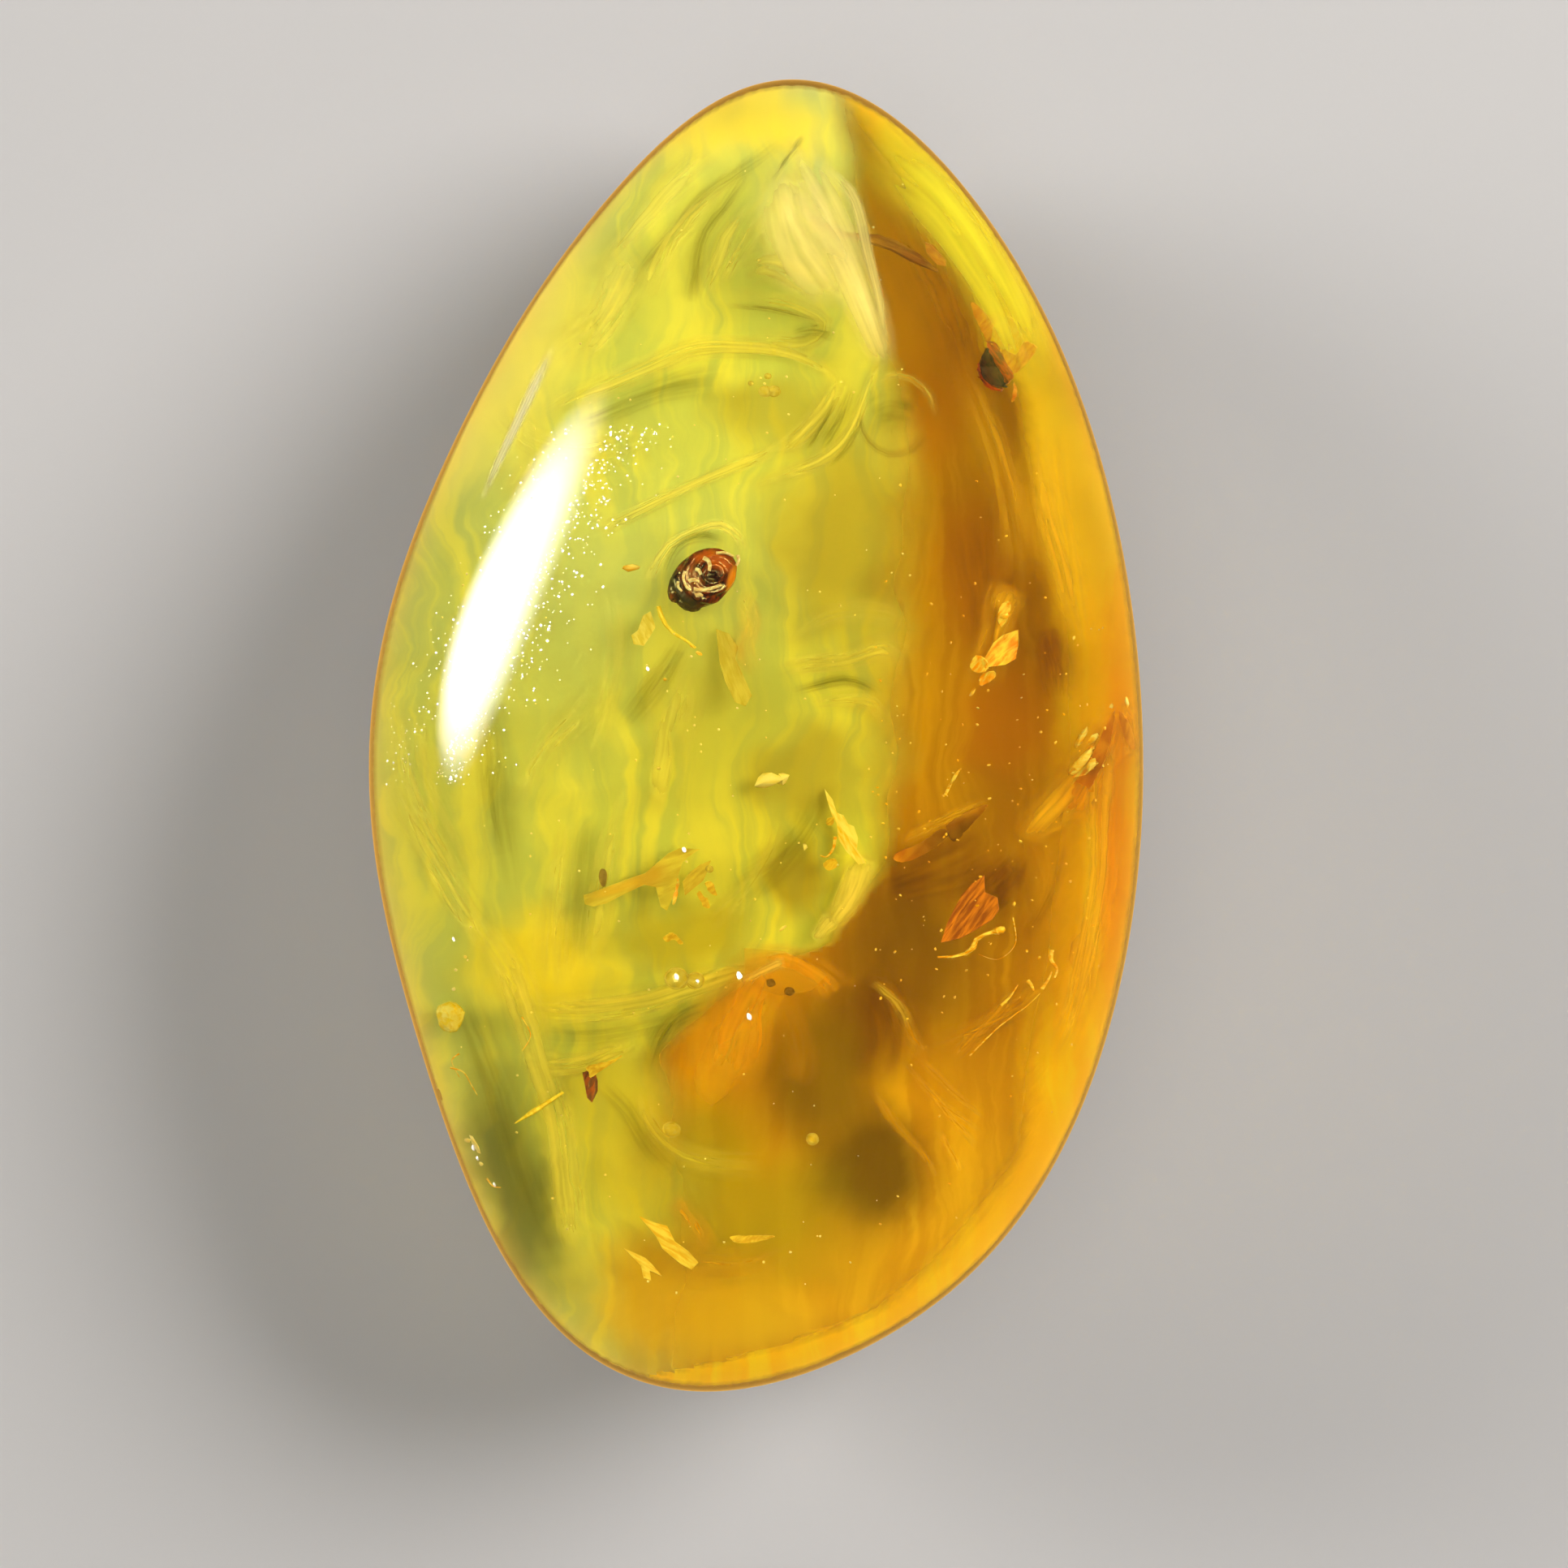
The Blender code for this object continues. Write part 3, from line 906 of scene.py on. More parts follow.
@dataclass(frozen=True)
class WispFinish:
    """A thin veil of cloud, drawn out by the flow, with soft edges and fine lines along it."""

    name: str
    colour: str
    line_count: float = 6.5
    line_depth: float = 0.8

    def material(self) -> bpy.types.Material:
        """Makes the veil, which fades out to both sides and both ends."""
        made = bpy.data.materials.new(self.name)
        made.use_nodes = True
        tree = made.node_tree
        shader = tree.nodes["Principled BSDF"]
        shader.inputs["Base Color"].default_value = linear(self.colour)
        shader.inputs["Roughness"].default_value = 1.0
        shader.inputs["Specular IOR Level"].default_value = 0.0
        uv = add_node(tree, "UVMap", {"uv_map": "UVMap"})
        parts = add_node(tree, "SeparateXYZ", links={0: uv.outputs[0]})
        fades = []
        for socket, start in ((0, 0.35), (1, 0.0)):
            part = add_node(tree, "Math", {"operation": "FRACT"}, {0: parts.outputs[socket]})
            away = add_node(
                tree, "Math", {"operation": "MULTIPLY_ADD", 1: 2.0, 2: -1.0}, {0: part.outputs[0]}
            )
            size = add_node(tree, "Math", {"operation": "ABSOLUTE"}, {0: away.outputs[0]})
            fade = add_node(
                tree, "MapRange", {"interpolation_type": "SMOOTHSTEP", 1: 1.0, 2: start}, {0: size.outputs[0]}
            )
            fades.append(fade.outputs[0])
        along = add_node(tree, "Mapping", {"Scale": (1.6, self.line_count, 1)}, {"Vector": uv.outputs[0]})
        lines = add_node(tree, "TexNoise", {"Scale": 1.0, "Detail": 2.0}, {"Vector": along.outputs[0]})
        grain = add_node(
            tree, "MapRange", {1: 0.30, 2: 0.62, 3: 1 - self.line_depth, 4: 1.0}, {0: lines.outputs["Fac"]}
        )
        strength = add_node(tree, "Attribute", {"attribute_name": "strength"})
        alpha = strength.outputs["Fac"]
        for socket in (*fades, grain.outputs[0]):
            alpha = add_node(tree, "Math", {"operation": "MULTIPLY"}, {0: alpha, 1: socket}).outputs[0]
        tree.links.new(alpha, shader.inputs["Alpha"])
        return made


@dataclass
class Swirls:
    """The drawn-out wisps of cloud, one piece for each tone; the dark olive wisps are painted shade."""

    lens: DomeLens
    across: int = 6
    per_mm: float = 2.2
    stack: int = 9
    stack_gap: float = 0.04

    def streaks(self) -> list[Streak]:
        """Lists the wisps, from the narrow end down."""
        cream, olive_shade, gold = Tone.CREAM, Tone.OLIVE_SHADE, Tone.GOLD
        milk, orange, brown, yellow = Tone.MILK, Tone.ORANGE, Tone.BROWN, Tone.YELLOW
        return [
            Streak(cream, 0.75, 0.75, ((-8.6, 11.8), (-7.5, 12.6), (-5.8, 13.3), (-4.1, 14.0), (-2.4, 14.7),
                                       (-0.8, 14.8), (1.1, 14.6), (2.7, 13.9), (3.1, 13.0))),
            Streak(cream, 0.95, 0.65, ((3.2, 13.8), (2.9, 12.8), (2.3, 12.0), (1.5, 11.2), (0.6, 10.7))),
            Streak(cream, 0.6, 0.65, ((-6.0, 7.7), (-5.5, 8.0), (-3.9, 8.8), (-2.2, 9.6), (-0.8, 10.2),
                                      (0.6, 10.8), (1.7, 11.6))),
            Streak(cream, 0.55, 0.6, ((5.0, 14.2), (4.5, 13.7), (4.1, 12.6), (3.6, 11.5), (2.7, 10.6),
                                      (1.1, 9.9), (-0.4, 9.4))),
            Streak(cream, 0.9, 0.5, ((-0.8, 21.6), (-2.2, 20.1), (-3.3, 18.8), (-3.9, 17.3), (-4.1, 16.6))),
            Streak(cream, 0.8, 0.5, ((-0.1, 20.4), (-1.0, 19.2), (-1.6, 17.8), (-2.1, 16.4))),
            Streak(cream, 0.6, 0.5, ((0.6, 20.6), (-0.2, 19.0), (-0.8, 18.1), (-1.3, 17.1))),
            Streak(cream, 1.0, 0.5, ((-1.5, 22.3), (-3.1, 21.0), (-4.6, 19.3), (-6.2, 17.3))),
            Streak(cream, 1.9, 0.7, ((-4.2, 18.9), (-5.0, 17.3), (-5.6, 16.2), (-6.4, 15.2), (-7.6, 14.2))),
            Streak(cream, 0.9, 0.55, ((-1.4, 16.8), (-0.1, 16.6), (1.3, 16.4), (2.6, 15.7), (1.9, 15.0),
                                      (0.4, 15.0), (-1.3, 14.8))),
            Streak(cream, 1.6, 0.6, ((-0.6, 17.6), (0.5, 18.0), (2.0, 17.5), (3.5, 16.6))),
            Streak(cream, 1.1, 0.5, ((-13.6, -2.0), (-12.7, -3.9), (-11.3, -6.4), (-9.9, -8.4))),
            Streak(cream, 1.5, 0.4, ((-13.2, 1.6), (-13.1, -1.3), (-12.1, -3.5), (-10.5, -6.3))),
            Streak(cream, 1.8, 0.45, ((-2.4, 3.0), (-3.1, 0.9), (-3.5, -1.3), (-3.9, -3.5))),
            Streak(cream, 1.4, 0.35, ((-5.8, 1.9), (-7.2, 0.3), (-8.4, -1.3), (-8.8, -2.9))),
            Streak(cream, 0.45, 0.9, ((-4.1, 5.8), (-3.9, 6.2), (-3.3, 7.2), (-2.2, 7.8), (-1.3, 8.0),
                                      (-0.6, 7.5), (-0.4, 6.8)), Layer.HIGH),
            Streak(cream, 0.9, 0.5, ((0.7, 2.3), (2.0, 2.7), (3.5, 2.9), (4.9, 3.3), (5.8, 2.7))),
            Streak(cream, 0.8, 0.35, ((1.2, 3.3), (2.6, 4.4), (4.3, 4.7), (5.6, 4.4))),
            Streak(cream, 0.8, 0.4, ((2.0, 1.2), (3.3, 1.3), (4.5, 1.2), (5.3, 0.1))),
            Streak(cream, 1.0, 0.8, ((-9.8, -10.2), (-7.9, -10.5), (-6.1, -10.5), (-4.3, -10.2), (-2.6, -9.7),
                                     (-1.4, -9.3), (0.0, -8.9), (1.7, -8.3))),
            Streak(cream, 0.9, 0.7, ((-9.0, -12.4), (-7.9, -12.7), (-6.6, -12.6), (-5.5, -12.2),
                                     (-4.3, -11.8))),
            Streak(cream, 1.5, 0.7, ((-11.5, -6.0), (-9.7, -8.4), (-8.9, -10.2), (-8.2, -12.6), (-7.5, -14.9),
                                     (-7.2, -17.3), (-6.8, -19.4), (-5.6, -21.4))),
            Streak(cream, 0.9, 0.5, ((-4.3, -13.5), (-4.1, -14.6), (-3.1, -15.8), (-1.4, -16.4),
                                     (0.4, -16.5))),
            Streak(cream, 1.5, 0.4, ((-7.1, -3.0), (-7.4, -5.5), (-7.6, -8.0), (-7.7, -10.0))),
            Streak(cream, 1.3, 0.4, ((-4.9, -1.8), (-5.6, -4.2), (-6.0, -6.7), (-6.3, -9.2))),
            Streak(cream, 0.7, 0.7, ((4.7, -4.6), (4.0, -5.2), (3.4, -6.1), (3.1, -7.0), (2.4, -7.9))),
            # The olive wisps are painted shade: between and under the pale veils, and in a ring round the
            # beetle.
            Streak(olive_shade, 0.22, 0.8, ((1.9, 22.9), (1.3, 22.1), (0.6, 21.1))),
            Streak(olive_shade, 0.5, 0.5, ((1.3, 22.8), (-0.3, 21.7), (-2.0, 20.5), (-3.1, 19.2), (-4.3, 17.8),
                                     (-4.8, 16.4))),
            Streak(olive_shade, 0.5, 0.5, ((-0.1, 21.7), (-1.0, 20.4), (-2.0, 19.0), (-2.3, 17.3), (-2.4, 16.4))),
            Streak(olive_shade, 0.25, 0.7, ((3.1, 12.9), (2.6, 11.9), (1.9, 10.8))),
            Streak(olive_shade, 0.35, 0.6, ((3.7, 13.3), (3.2, 12.0), (2.5, 10.9))),
            Streak(olive_shade, 0.30, 0.5, ((4.1, 12.2), (3.6, 11.1), (2.8, 10.2))),
            Streak(olive_shade, 0.22, 0.6, ((-1.1, 16.4), (0.2, 16.3), (1.3, 16.1), (2.8, 15.7))),
            Streak(olive_shade, 0.6, 0.6, ((1.4, 15.2), (2.2, 15.4), (3.1, 15.2))),
            Streak(olive_shade, 1.1, 0.45, ((-7.1, 11.7), (-5.3, 12.5), (-3.1, 13.3), (-0.9, 13.6))),
            Streak(olive_shade, 0.45, 0.7, ((-3.5, 5.9), (-3.2, 6.8), (-2.7, 7.4), (-1.9, 7.6), (-1.0, 7.3)),
                   Layer.HIGH),
            Streak(olive_shade, 0.8, 0.5, ((-2.7, 3.7), (-3.3, 2.6), (-4.1, 1.5), (-5.1, 0.2))),
            Streak(olive_shade, 0.38, 0.65, ((1.3, 1.6), (2.4, 1.9), (3.4, 2.1), (4.2, 1.9), (4.8, 1.5))),
            Streak(olive_shade, 0.7, 0.35, ((-10.0, -0.8), (-10.1, -2.2), (-9.7, -4.6))),
            Streak(olive_shade, 0.8, 0.3, ((-8.7, -11.3), (-6.5, -11.5), (-4.3, -11.2), (-2.5, -10.7))),
            Streak(olive_shade, 1.0, 0.7, ((-4.1, -13.3), (-3.6, -11.6), (-2.8, -10.7), (-1.5, -10.2))),
            Streak(olive_shade, 0.8, 0.4, ((-6.0, -13.3), (-5.0, -14.3), (-4.1, -15.7), (-2.9, -16.9))),
            Streak(olive_shade, 1.8, 0.45, ((-11.8, -8.6), (-10.9, -11.1), (-10.0, -13.5), (-9.3, -16.0),
                                      (-8.4, -18.5), (-7.4, -20.7))),
            Streak(gold, 0.25, 0.5, ((5.6, -12.4), (7.0, -14.0), (8.7, -15.2)), Layer.BROWN),
            Streak(gold, 0.25, 0.5, ((6.0, -12.1), (7.5, -13.6), (8.8, -14.7)), Layer.BROWN),
            Streak(gold, 0.30, 0.6, ((4.4, -13.4), (5.3, -14.8), (6.4, -16.0), (7.0, -17.0)), Layer.BROWN),
            Streak(gold, 0.22, 0.6, ((7.0, -15.1), (7.5, -16.0), (7.9, -16.7)), Layer.BROWN),
            Streak(gold, 0.22, 0.5, ((6.4, -13.2), (7.3, -14.4), (8.5, -15.8)), Layer.BROWN),
            Streak(gold, 0.60, 0.6, ((4.1, -9.3), (5.1, -9.7), (5.5, -10.6), (6.1, -11.9), (6.8, -12.4)),
                   Layer.BROWN),
            Streak(gold, 0.45, 0.7, ((9.9, -9.6), (9.3, -10.6), (8.2, -11.7), (7.5, -12.4)), Layer.BROWN),
            Streak(gold, 1.1, 0.9, ((10.2, -4.2), (10.80, -3.39), (12.29, -1.81), (13.16, -0.23),
                                    (13.72, 1.01)), Layer.RIM),
            Streak(gold, 1.2, 0.8, ((13.4, 0.4), (13.31, -1.04), (13.22, -3.30), (13.10, -5.94),
                                    (12.14, -10.37),
                                    (11.2, -12.6)), Layer.RIM),
            Streak(gold, 1.5, 0.8, ((9.9, 5.8), (9.47, 4.91), (9.16, 3.52), (8.6, 1.6)), Layer.RIM),
            Streak(gold, 1.6, 0.5, ((7.6, 15.0), (9.2, 11.0), (9.9, 8.0), (10.2, 5.5)), Layer.RIM),
            Streak(milk, 3.0, 1.0, ((0.9, 22.9), (2.0, 20.9), (2.9, 19.2), (3.8, 17.2), (4.7, 14.9),
                                     (4.9, 14.0)), Layer.CRACK, 0.18),
            Streak(milk, 2.4, 0.8, ((1.0, 21.8), (1.4, 19.6), (2.2, 18.2), (3.5, 16.4)), Layer.CRACK),
            Streak(milk, 0.5, 0.7, ((2.4, 21.9), (3.7, 20.6), (4.3, 18.4), (4.8, 16.2), (5.0, 14.2)),
                   Layer.CRACK, 0.5),
            Streak(milk, 1.0, 0.7, ((4.6, -4.6), (4.1, -5.0), (3.8, -5.8), (3.5, -6.5), (3.1, -7.0),
                                    (2.6, -7.7)), Layer.HIGH),
            Streak(milk, 0.7, 0.6, ((3.0, -6.9), (2.6, -7.4), (2.2, -7.9)), Layer.HIGH),
            Streak(milk, 0.40, 0.9, ((-0.7, -9.5), (-0.36, -9.38), (0.2, -9.1), (0.85, -8.79),
                                     (1.2, -8.7)), Layer.HIGH),
            Streak(milk, 0.35, 0.6, ((4.39, -9.41), (4.9, -9.8), (5.50, -10.37), (6.0, -11.4)), Layer.BROWN),
            Streak(gold, 2.0, 0.6, ((-0.3, -10.2), (-0.8, -11.6), (-1.3, -13.4)), Layer.HIGH),
            Streak(orange, 2.2, 0.6, ((0.9, -8.2), (0.0, -9.4), (-0.6, -10.6), (-1.1, -12.2),
                                      (-1.5, -13.9)), Layer.HIGH, 1.2),
            Streak(orange, 1.5, 0.6, ((0.4, -8.9), (-0.4, -10.2), (-0.7, -11.6), (-1.6, -13.2)), Layer.HIGH),
            Streak(yellow, 1.5, 0.6, ((0.3, -9.6), (-0.1, -10.7), (-0.9, -11.9), (-1.5, -13.8)), Layer.HIGH),
            Streak(orange, 1.0, 0.5, ((1.3, -9.2), (0.3, -10.4), (0.2, -11.8), (-0.4, -13.0)), Layer.HIGH),
            Streak(orange, 1.2, 0.65, ((-0.5, -8.7), (1.10, -8.57), (2.50, -9.35), (3.1, -10.0)), Layer.HIGH),
            Streak(orange, 1.1, 0.25, ((0.95, -9.6), (1.72, -11.98), (1.5, -13.5)), Layer.HIGH),
            Streak(orange, 0.9, 0.35, ((-0.76, 5.69), (-0.14, 4.45), (-0.45, 3.2), (0.1, 2.2)), Layer.HIGH),
            Streak(orange, 1.2, 0.7, ((11.8, -3.4), (12.6, -2.2), (13.4, -0.6), (14.0, 1.0)), Layer.RIM),
            Streak(orange, 0.9, 0.6, ((13.9, 1.2), (14.3, 0.2), (14.3, -1.0)), Layer.RIM),
            Streak(gold, 0.5, 0.5, ((5.4, -4.2), (7.0, -3.4), (9.0, -2.5)), Layer.HIGH),
            Streak(orange, 1.4, 0.14, ((-9.4, 8.6), (-8.8, 9.8), (-8.0, 10.6)), Layer.HIGH),
            Streak(brown, 2.6, 0.55, ((4.9, -5.9), (5.8, -5.6), (7.8, -4.9), (9.4, -4.0)), Layer.BROWN),
            Streak(brown, 2.0, 0.7, ((8.3, -7.0), (9.0, -6.2), (9.7, -5.4), (10.3, -4.5)), Layer.BROWN, 0.6),
            Streak(brown, 1.3, 0.75, ((11.1, 4.2), (11.4, 2.9), (11.6, 1.2)), Layer.RIM),
            Streak(brown, 2.4, 0.4, ((8.2, 8.6), (8.7, 5.6), (8.9, 3.0)), Layer.RIM),
            Streak(brown, 2.6, 0.5, ((4.0, -9.0), (5.0, -11.0), (4.6, -13.5)), Layer.BROWN),
            Streak(brown, 0.5, 0.4, ((10.2, -8.0), (11.3, -6.2), (11.8, -4.0)), Layer.HIGH),
            Streak(gold, 0.8, 0.45, ((6.4, -12.0), (8.6, -11.2), (10.6, -10.0), (11.4, -8.6)), Layer.BROWN),
            Streak(gold, 2.4, 0.4, ((9.6, -2.0), (10.8, -5.0), (11.4, -8.0), (10.6, -11.0)), Layer.BROWN),
            Streak(gold, 2.6, 0.55, ((4.6, 22.0), (6.4, 19.0), (7.8, 15.8), (8.6, 12.0)), Layer.BROWN),
            Streak(gold, 1.4, 0.5, ((11.0, 12.0), (11.2, 9.0), (11.9, 6.0), (12.5, 3.0)), Layer.RIM),
            Streak(gold, 1.6, 0.4, ((-4.2, -19.0), (-2.5, -20.0), (-0.5, -20.2), (1.6, -19.4)), Layer.BROWN),
            Streak(orange, 0.9, 0.5, ((-3.2, -17.6), (-2.4, -18.6), (-1.6, -19.8)), Layer.PALE),
            # Painted shade: the brown arc round the lower side of the flat bubble, and the olive wisp inside
            # it, stand for the dark rim and shaded inside that the bubble shows.
            Streak(brown, 0.35, 0.45, ((4.3, 12.9), (4.0, 12.0), (4.3, 11.2), (5.1, 10.7), (6.0, 10.9),
                                       (6.6, 11.6)),
                   Layer.HIGH),
            Streak(cream, 0.3, 0.4, ((4.4, 13.2), (5.1, 13.7), (6.0, 13.6), (6.7, 12.9), (6.9, 12.0)),
                   Layer.HIGH),
            Streak(olive_shade, 1.4, 0.45, ((4.4, 12.2), (5.2, 12.5), (6.2, 12.2)), Layer.PALE),
            # Painted highlight: this thin milky wisp just under the dome, above the main gleam, stands for a
            # faint second reflection on the surface.
            Streak(milk, 0.35, 0.9, ((-7.7, 14.9), (-8.3, 13.6), (-9.1, 11.89), (-9.9, 10.2),
                                     (-10.5, 8.8)), Layer.SKIN),
            Streak(yellow, 2.6, 0.75, ((3.4, 23.4), (6.6, 20.9), (8.5, 18.3), (9.9, 15.6), (10.8, 12.6)),
                   Layer.SKIN),
            Streak(yellow, 1.6, 0.5, ((6.0, 21.8), (8.4, 19.4), (10.0, 16.4), (11.4, 12.4)), Layer.RIM),
            Streak(cream, 1.4, 0.35, ((-9.8, 12.6), (-8.4, 11.2), (-6.2, 10.9), (-3.8, 11.6)), Layer.PALE),
            Streak(cream, 1.0, 0.3, ((-6.4, -1.2), (-5.6, 1.2), (-5.2, 3.4), (-5.6, 6.0)), Layer.PALE),
            Streak(olive_shade, 1.2, 0.3, ((-10.8, 3.0), (-10.2, 0.0), (-9.9, -3.0), (-9.3, -6.4)), Layer.PALE),
            Streak(olive_shade, 1.0, 0.3, ((-6.4, -3.0), (-6.6, -6.0), (-6.9, -8.8)), Layer.PALE),
            Streak(olive_shade, 1.3, 0.4, ((-1.2, -6.2), (0.6, -5.2), (2.0, -3.6), (2.6, -2.2)), Layer.PALE),
            Streak(cream, 0.9, 0.35, ((-2.0, -7.6), (-0.6, -6.2), (0.6, -4.4), (1.0, -2.8)), Layer.PALE),
        ]  # fmt: skip

    def wisp(self, streak: Streak, number: int) -> bpy.types.Object:
        """Lays one wisp just over the cloud under it.

        Args:
            streak: The wisp.
            number: Its number, which varies its lines.

        Returns:
            A ribbon with its fades in the UV map.
        """
        points = [Vector(point) for point in streak.route]
        length = sum((b - a).length for a, b in zip(points, points[1:]))
        steps = max(8, round(length * self.per_mm))
        obj = grid(f"wisp_{number}", steps, self.across)
        layer = obj.data.uv_layers.active.data
        shares = [((v.co.x + 1) / 2, (v.co.y + 1) / 2) for v in obj.data.vertices]
        for loop in obj.data.loops:
            s, v = shares[loop.vertex_index]
            layer[loop.index].uv = (s * 0.999 + 3 * number, v * 0.999 + number)

        def level(x: float, y: float) -> float:
            """Gives the wisp's own height, so that crossing wisps don't lie in one plane."""
            return streak.layer.height(x, y) + self.stack_gap * (number % self.stack)

        for vertex, (s, v) in zip(obj.data.vertices, shares):
            here = between(points, s)
            ahead = between(points, s + 0.01) - between(points, s - 0.01)
            side = Vector((-ahead.y, ahead.x)).normalized()
            width = streak.width * (1.5 + 0.25 * math.sin(5 * s + number)) * (1 + (streak.taper - 1) * s)
            seen = here + side * (v - 0.5) * width
            vertex.co = self.lens.place(seen.x, seen.y, level) * MM
        write_share(obj, "strength", [streak.strength] * len(shares))
        return obj

    def build(self) -> list[bpy.types.Object]:
        """Builds the wisps of each tone as one piece."""
        pieces = []
        for tone in Tone:
            wisps = [self.wisp(streak, i) for i, streak in enumerate(self.streaks()) if streak.tone is tone]
            piece = joined(wisps, f"{tone.name.lower()}_swirls")
            select_only(piece)
            bpy.ops.object.shade_smooth()
            finish = WispFinish(f"{tone.name.lower()}_wisp", tone.value, line_depth=tone.line_depth)
            piece.visible_shadow = False
            pieces.append(dress(piece, finish.material()))
        return pieces


@dataclass(frozen=True)
class ScrapFinish:
    """Old plant or insect matter in resin: two streaked tones, soft spots, a fine relief and a sheen."""

    name: str
    dark: str
    light: str
    grain_mm: float = 0.25
    stretch: float = 4.0
    turn: float = 0.0
    roughness: float = 0.45
    relief: float = 0.35
    alpha: float = 1.0
    patches: tuple[Patch, ...] = ()

    def material(self) -> bpy.types.Material:
        """Makes the finish, which reads each point's own place in millimetres."""
        made = bpy.data.materials.new(self.name)
        made.use_nodes = True
        tree = made.node_tree
        shader = tree.nodes["Principled BSDF"]
        shader.inputs["Roughness"].default_value = self.roughness
        shader.inputs["IOR"].default_value = 1.6
        shader.inputs["Alpha"].default_value = self.alpha
        place = add_node(tree, "TexCoord").outputs["Object"]
        spot = add_node(tree, "VectorMath", {"operation": "SCALE", "Scale": 1 / MM}, {0: place}).outputs[0]
        flow = add_node(
            tree,
            "Mapping",
            {
                "vector_type": "TEXTURE",
                "Rotation": (0, 0, math.radians(self.turn)),
                "Scale": (self.grain_mm * self.stretch, self.grain_mm, self.grain_mm),
            },
            {"Vector": spot},
        ).outputs[0]
        streaks = add_node(
            tree, "TexNoise", {"Scale": 1.0, "Detail": 5.0, "Distortion": 0.4}, {"Vector": flow}
        )
        share = add_node(
            tree,
            "MapRange",
            {"interpolation_type": "SMOOTHSTEP", 1: 0.36, 2: 0.64},
            {0: streaks.outputs["Fac"]},
        )
        colour = add_node(
            tree,
            "Mix",
            {"data_type": "RGBA", 6: linear(self.dark), 7: linear(self.light)},
            {0: share.outputs[0]},
        ).outputs[2]
        colour = add_patches(tree, spot, colour, self.patches)
        tree.links.new(colour, shader.inputs["Base Color"])
        bump = add_node(
            tree,
            "Bump",
            {"Strength": self.relief, "Distance": 0.05 * MM},
            {"Height": streaks.outputs["Fac"]},
        )
        tree.links.new(bump.outputs[0], shader.inputs["Normal"])
        return made


@dataclass(frozen=True)
class Shred:
    """One small thin scrap: its outline as seen from above, its height over the sheet and its thickness."""

    outline: tuple[Point, ...]
    lift: float = 0.15
    thickness: float = 0.08
    tilt: float = 0.12


def thin_shred(lens: DomeLens, shred: Shred, name: str) -> bpy.types.Object:
    """Makes one scrap as a thin closed shell with an uneven face.

    Args:
        lens: The dome's lens, which says where the outline lies.
        shred: The scrap.
        name: The object's name.

    Returns:
        The scrap's mesh object, in metres.
    """
    points = [Vector(point) for point in shred.outline]
    corners = len(points)
    deselect_all()
    bpy.ops.mesh.primitive_circle_add(vertices=corners * 3, radius=1.0, fill_type="NGON")
    obj = bpy.context.object
    obj.name = name
    loop = points[-1:] + points + points[:2]
    for i, vertex in enumerate(obj.data.vertices):
        step, part = divmod(i, 3)
        x, y = between(loop[step : step + 4], (1 + part / 3) / 3)
        vertex.co = (x, y, 0.0)
    bpy.ops.object.mode_set(mode="EDIT")
    bpy.ops.mesh.select_all(action="SELECT")
    bpy.ops.mesh.quads_convert_to_tris()
    bpy.ops.mesh.subdivide(number_cuts=2)
    bpy.ops.object.mode_set(mode="OBJECT")
    middle = sum(points, Vector((0.0, 0.0))) / corners

    def level(x: float, y: float) -> float:
        """Gives the scrap's height: a tilted, uneven plane over the sheet."""
        lean = shred.tilt * (x - middle.x + y - middle.y)
        return STONE.sheet(x, y) + shred.lift + lean + 0.10 * ripple(x, y, 0.35, middle.x)

    for vertex in obj.data.vertices:
        vertex.co = lens.place(vertex.co.x, vertex.co.y, level) * MM
    apply_modifier(obj, "SOLIDIFY", thickness=shred.thickness * MM, offset=0.0)
    select_only(obj)
    bpy.ops.object.shade_smooth_by_angle(angle=math.radians(40))
    return obj


def shred_piece(
    lens: DomeLens, name: str, shreds: tuple[Shred, ...], finish: ScrapFinish
) -> bpy.types.Object:
    """Makes several scraps of one stuff as one piece.

    Args:
        lens: The dome's lens.
        name: The piece's name.
        shreds: The scraps.
        finish: Their finish.

    Returns:
        The finished piece.
    """
    parts = [thin_shred(lens, shred, f"{name}_{i}") for i, shred in enumerate(shreds)]
    return dress(joined(parts, name), finish.material())


def tube(points: list[Vector], radius: float, name: str, taper: float = 0.4) -> bpy.types.Object:
    """Makes a thin round thread through some points.

    Args:
        points: The points, in millimetres.
        radius: Its half thickness at the start, in millimetres.
        name: The object's name.
        taper: Its thickness at the end, as a share of that at the start.

    Returns:
        The thread as a mesh, in metres.
    """
    curve = bpy.data.curves.new(name, "CURVE")
    curve.dimensions = "3D"
    curve.bevel_depth = radius * MM
    curve.bevel_resolution = 2
    curve.use_fill_caps = True
    spline = curve.splines.new("POLY")
    count = 6 * len(points)
    spline.points.add(count - 1)
    for i, point in enumerate(spline.points):
        share = i / (count - 1)
        point.co = (*(between(points, share) * MM), 1.0)
        point.radius = 1 + (taper - 1) * share
    obj = bpy.data.objects.new(name, curve)
    bpy.context.scene.collection.objects.link(obj)
    select_only(obj)
    bpy.ops.object.convert(target="MESH")
    bpy.ops.object.shade_smooth()
    return bpy.context.object


@dataclass(frozen=True)
class Thread:
    """One fine thread: its route as seen from above, its half thickness and its height over the sheet."""

    route: tuple[Point, ...]
    radius: float = 0.04
    lift: float = 0.2


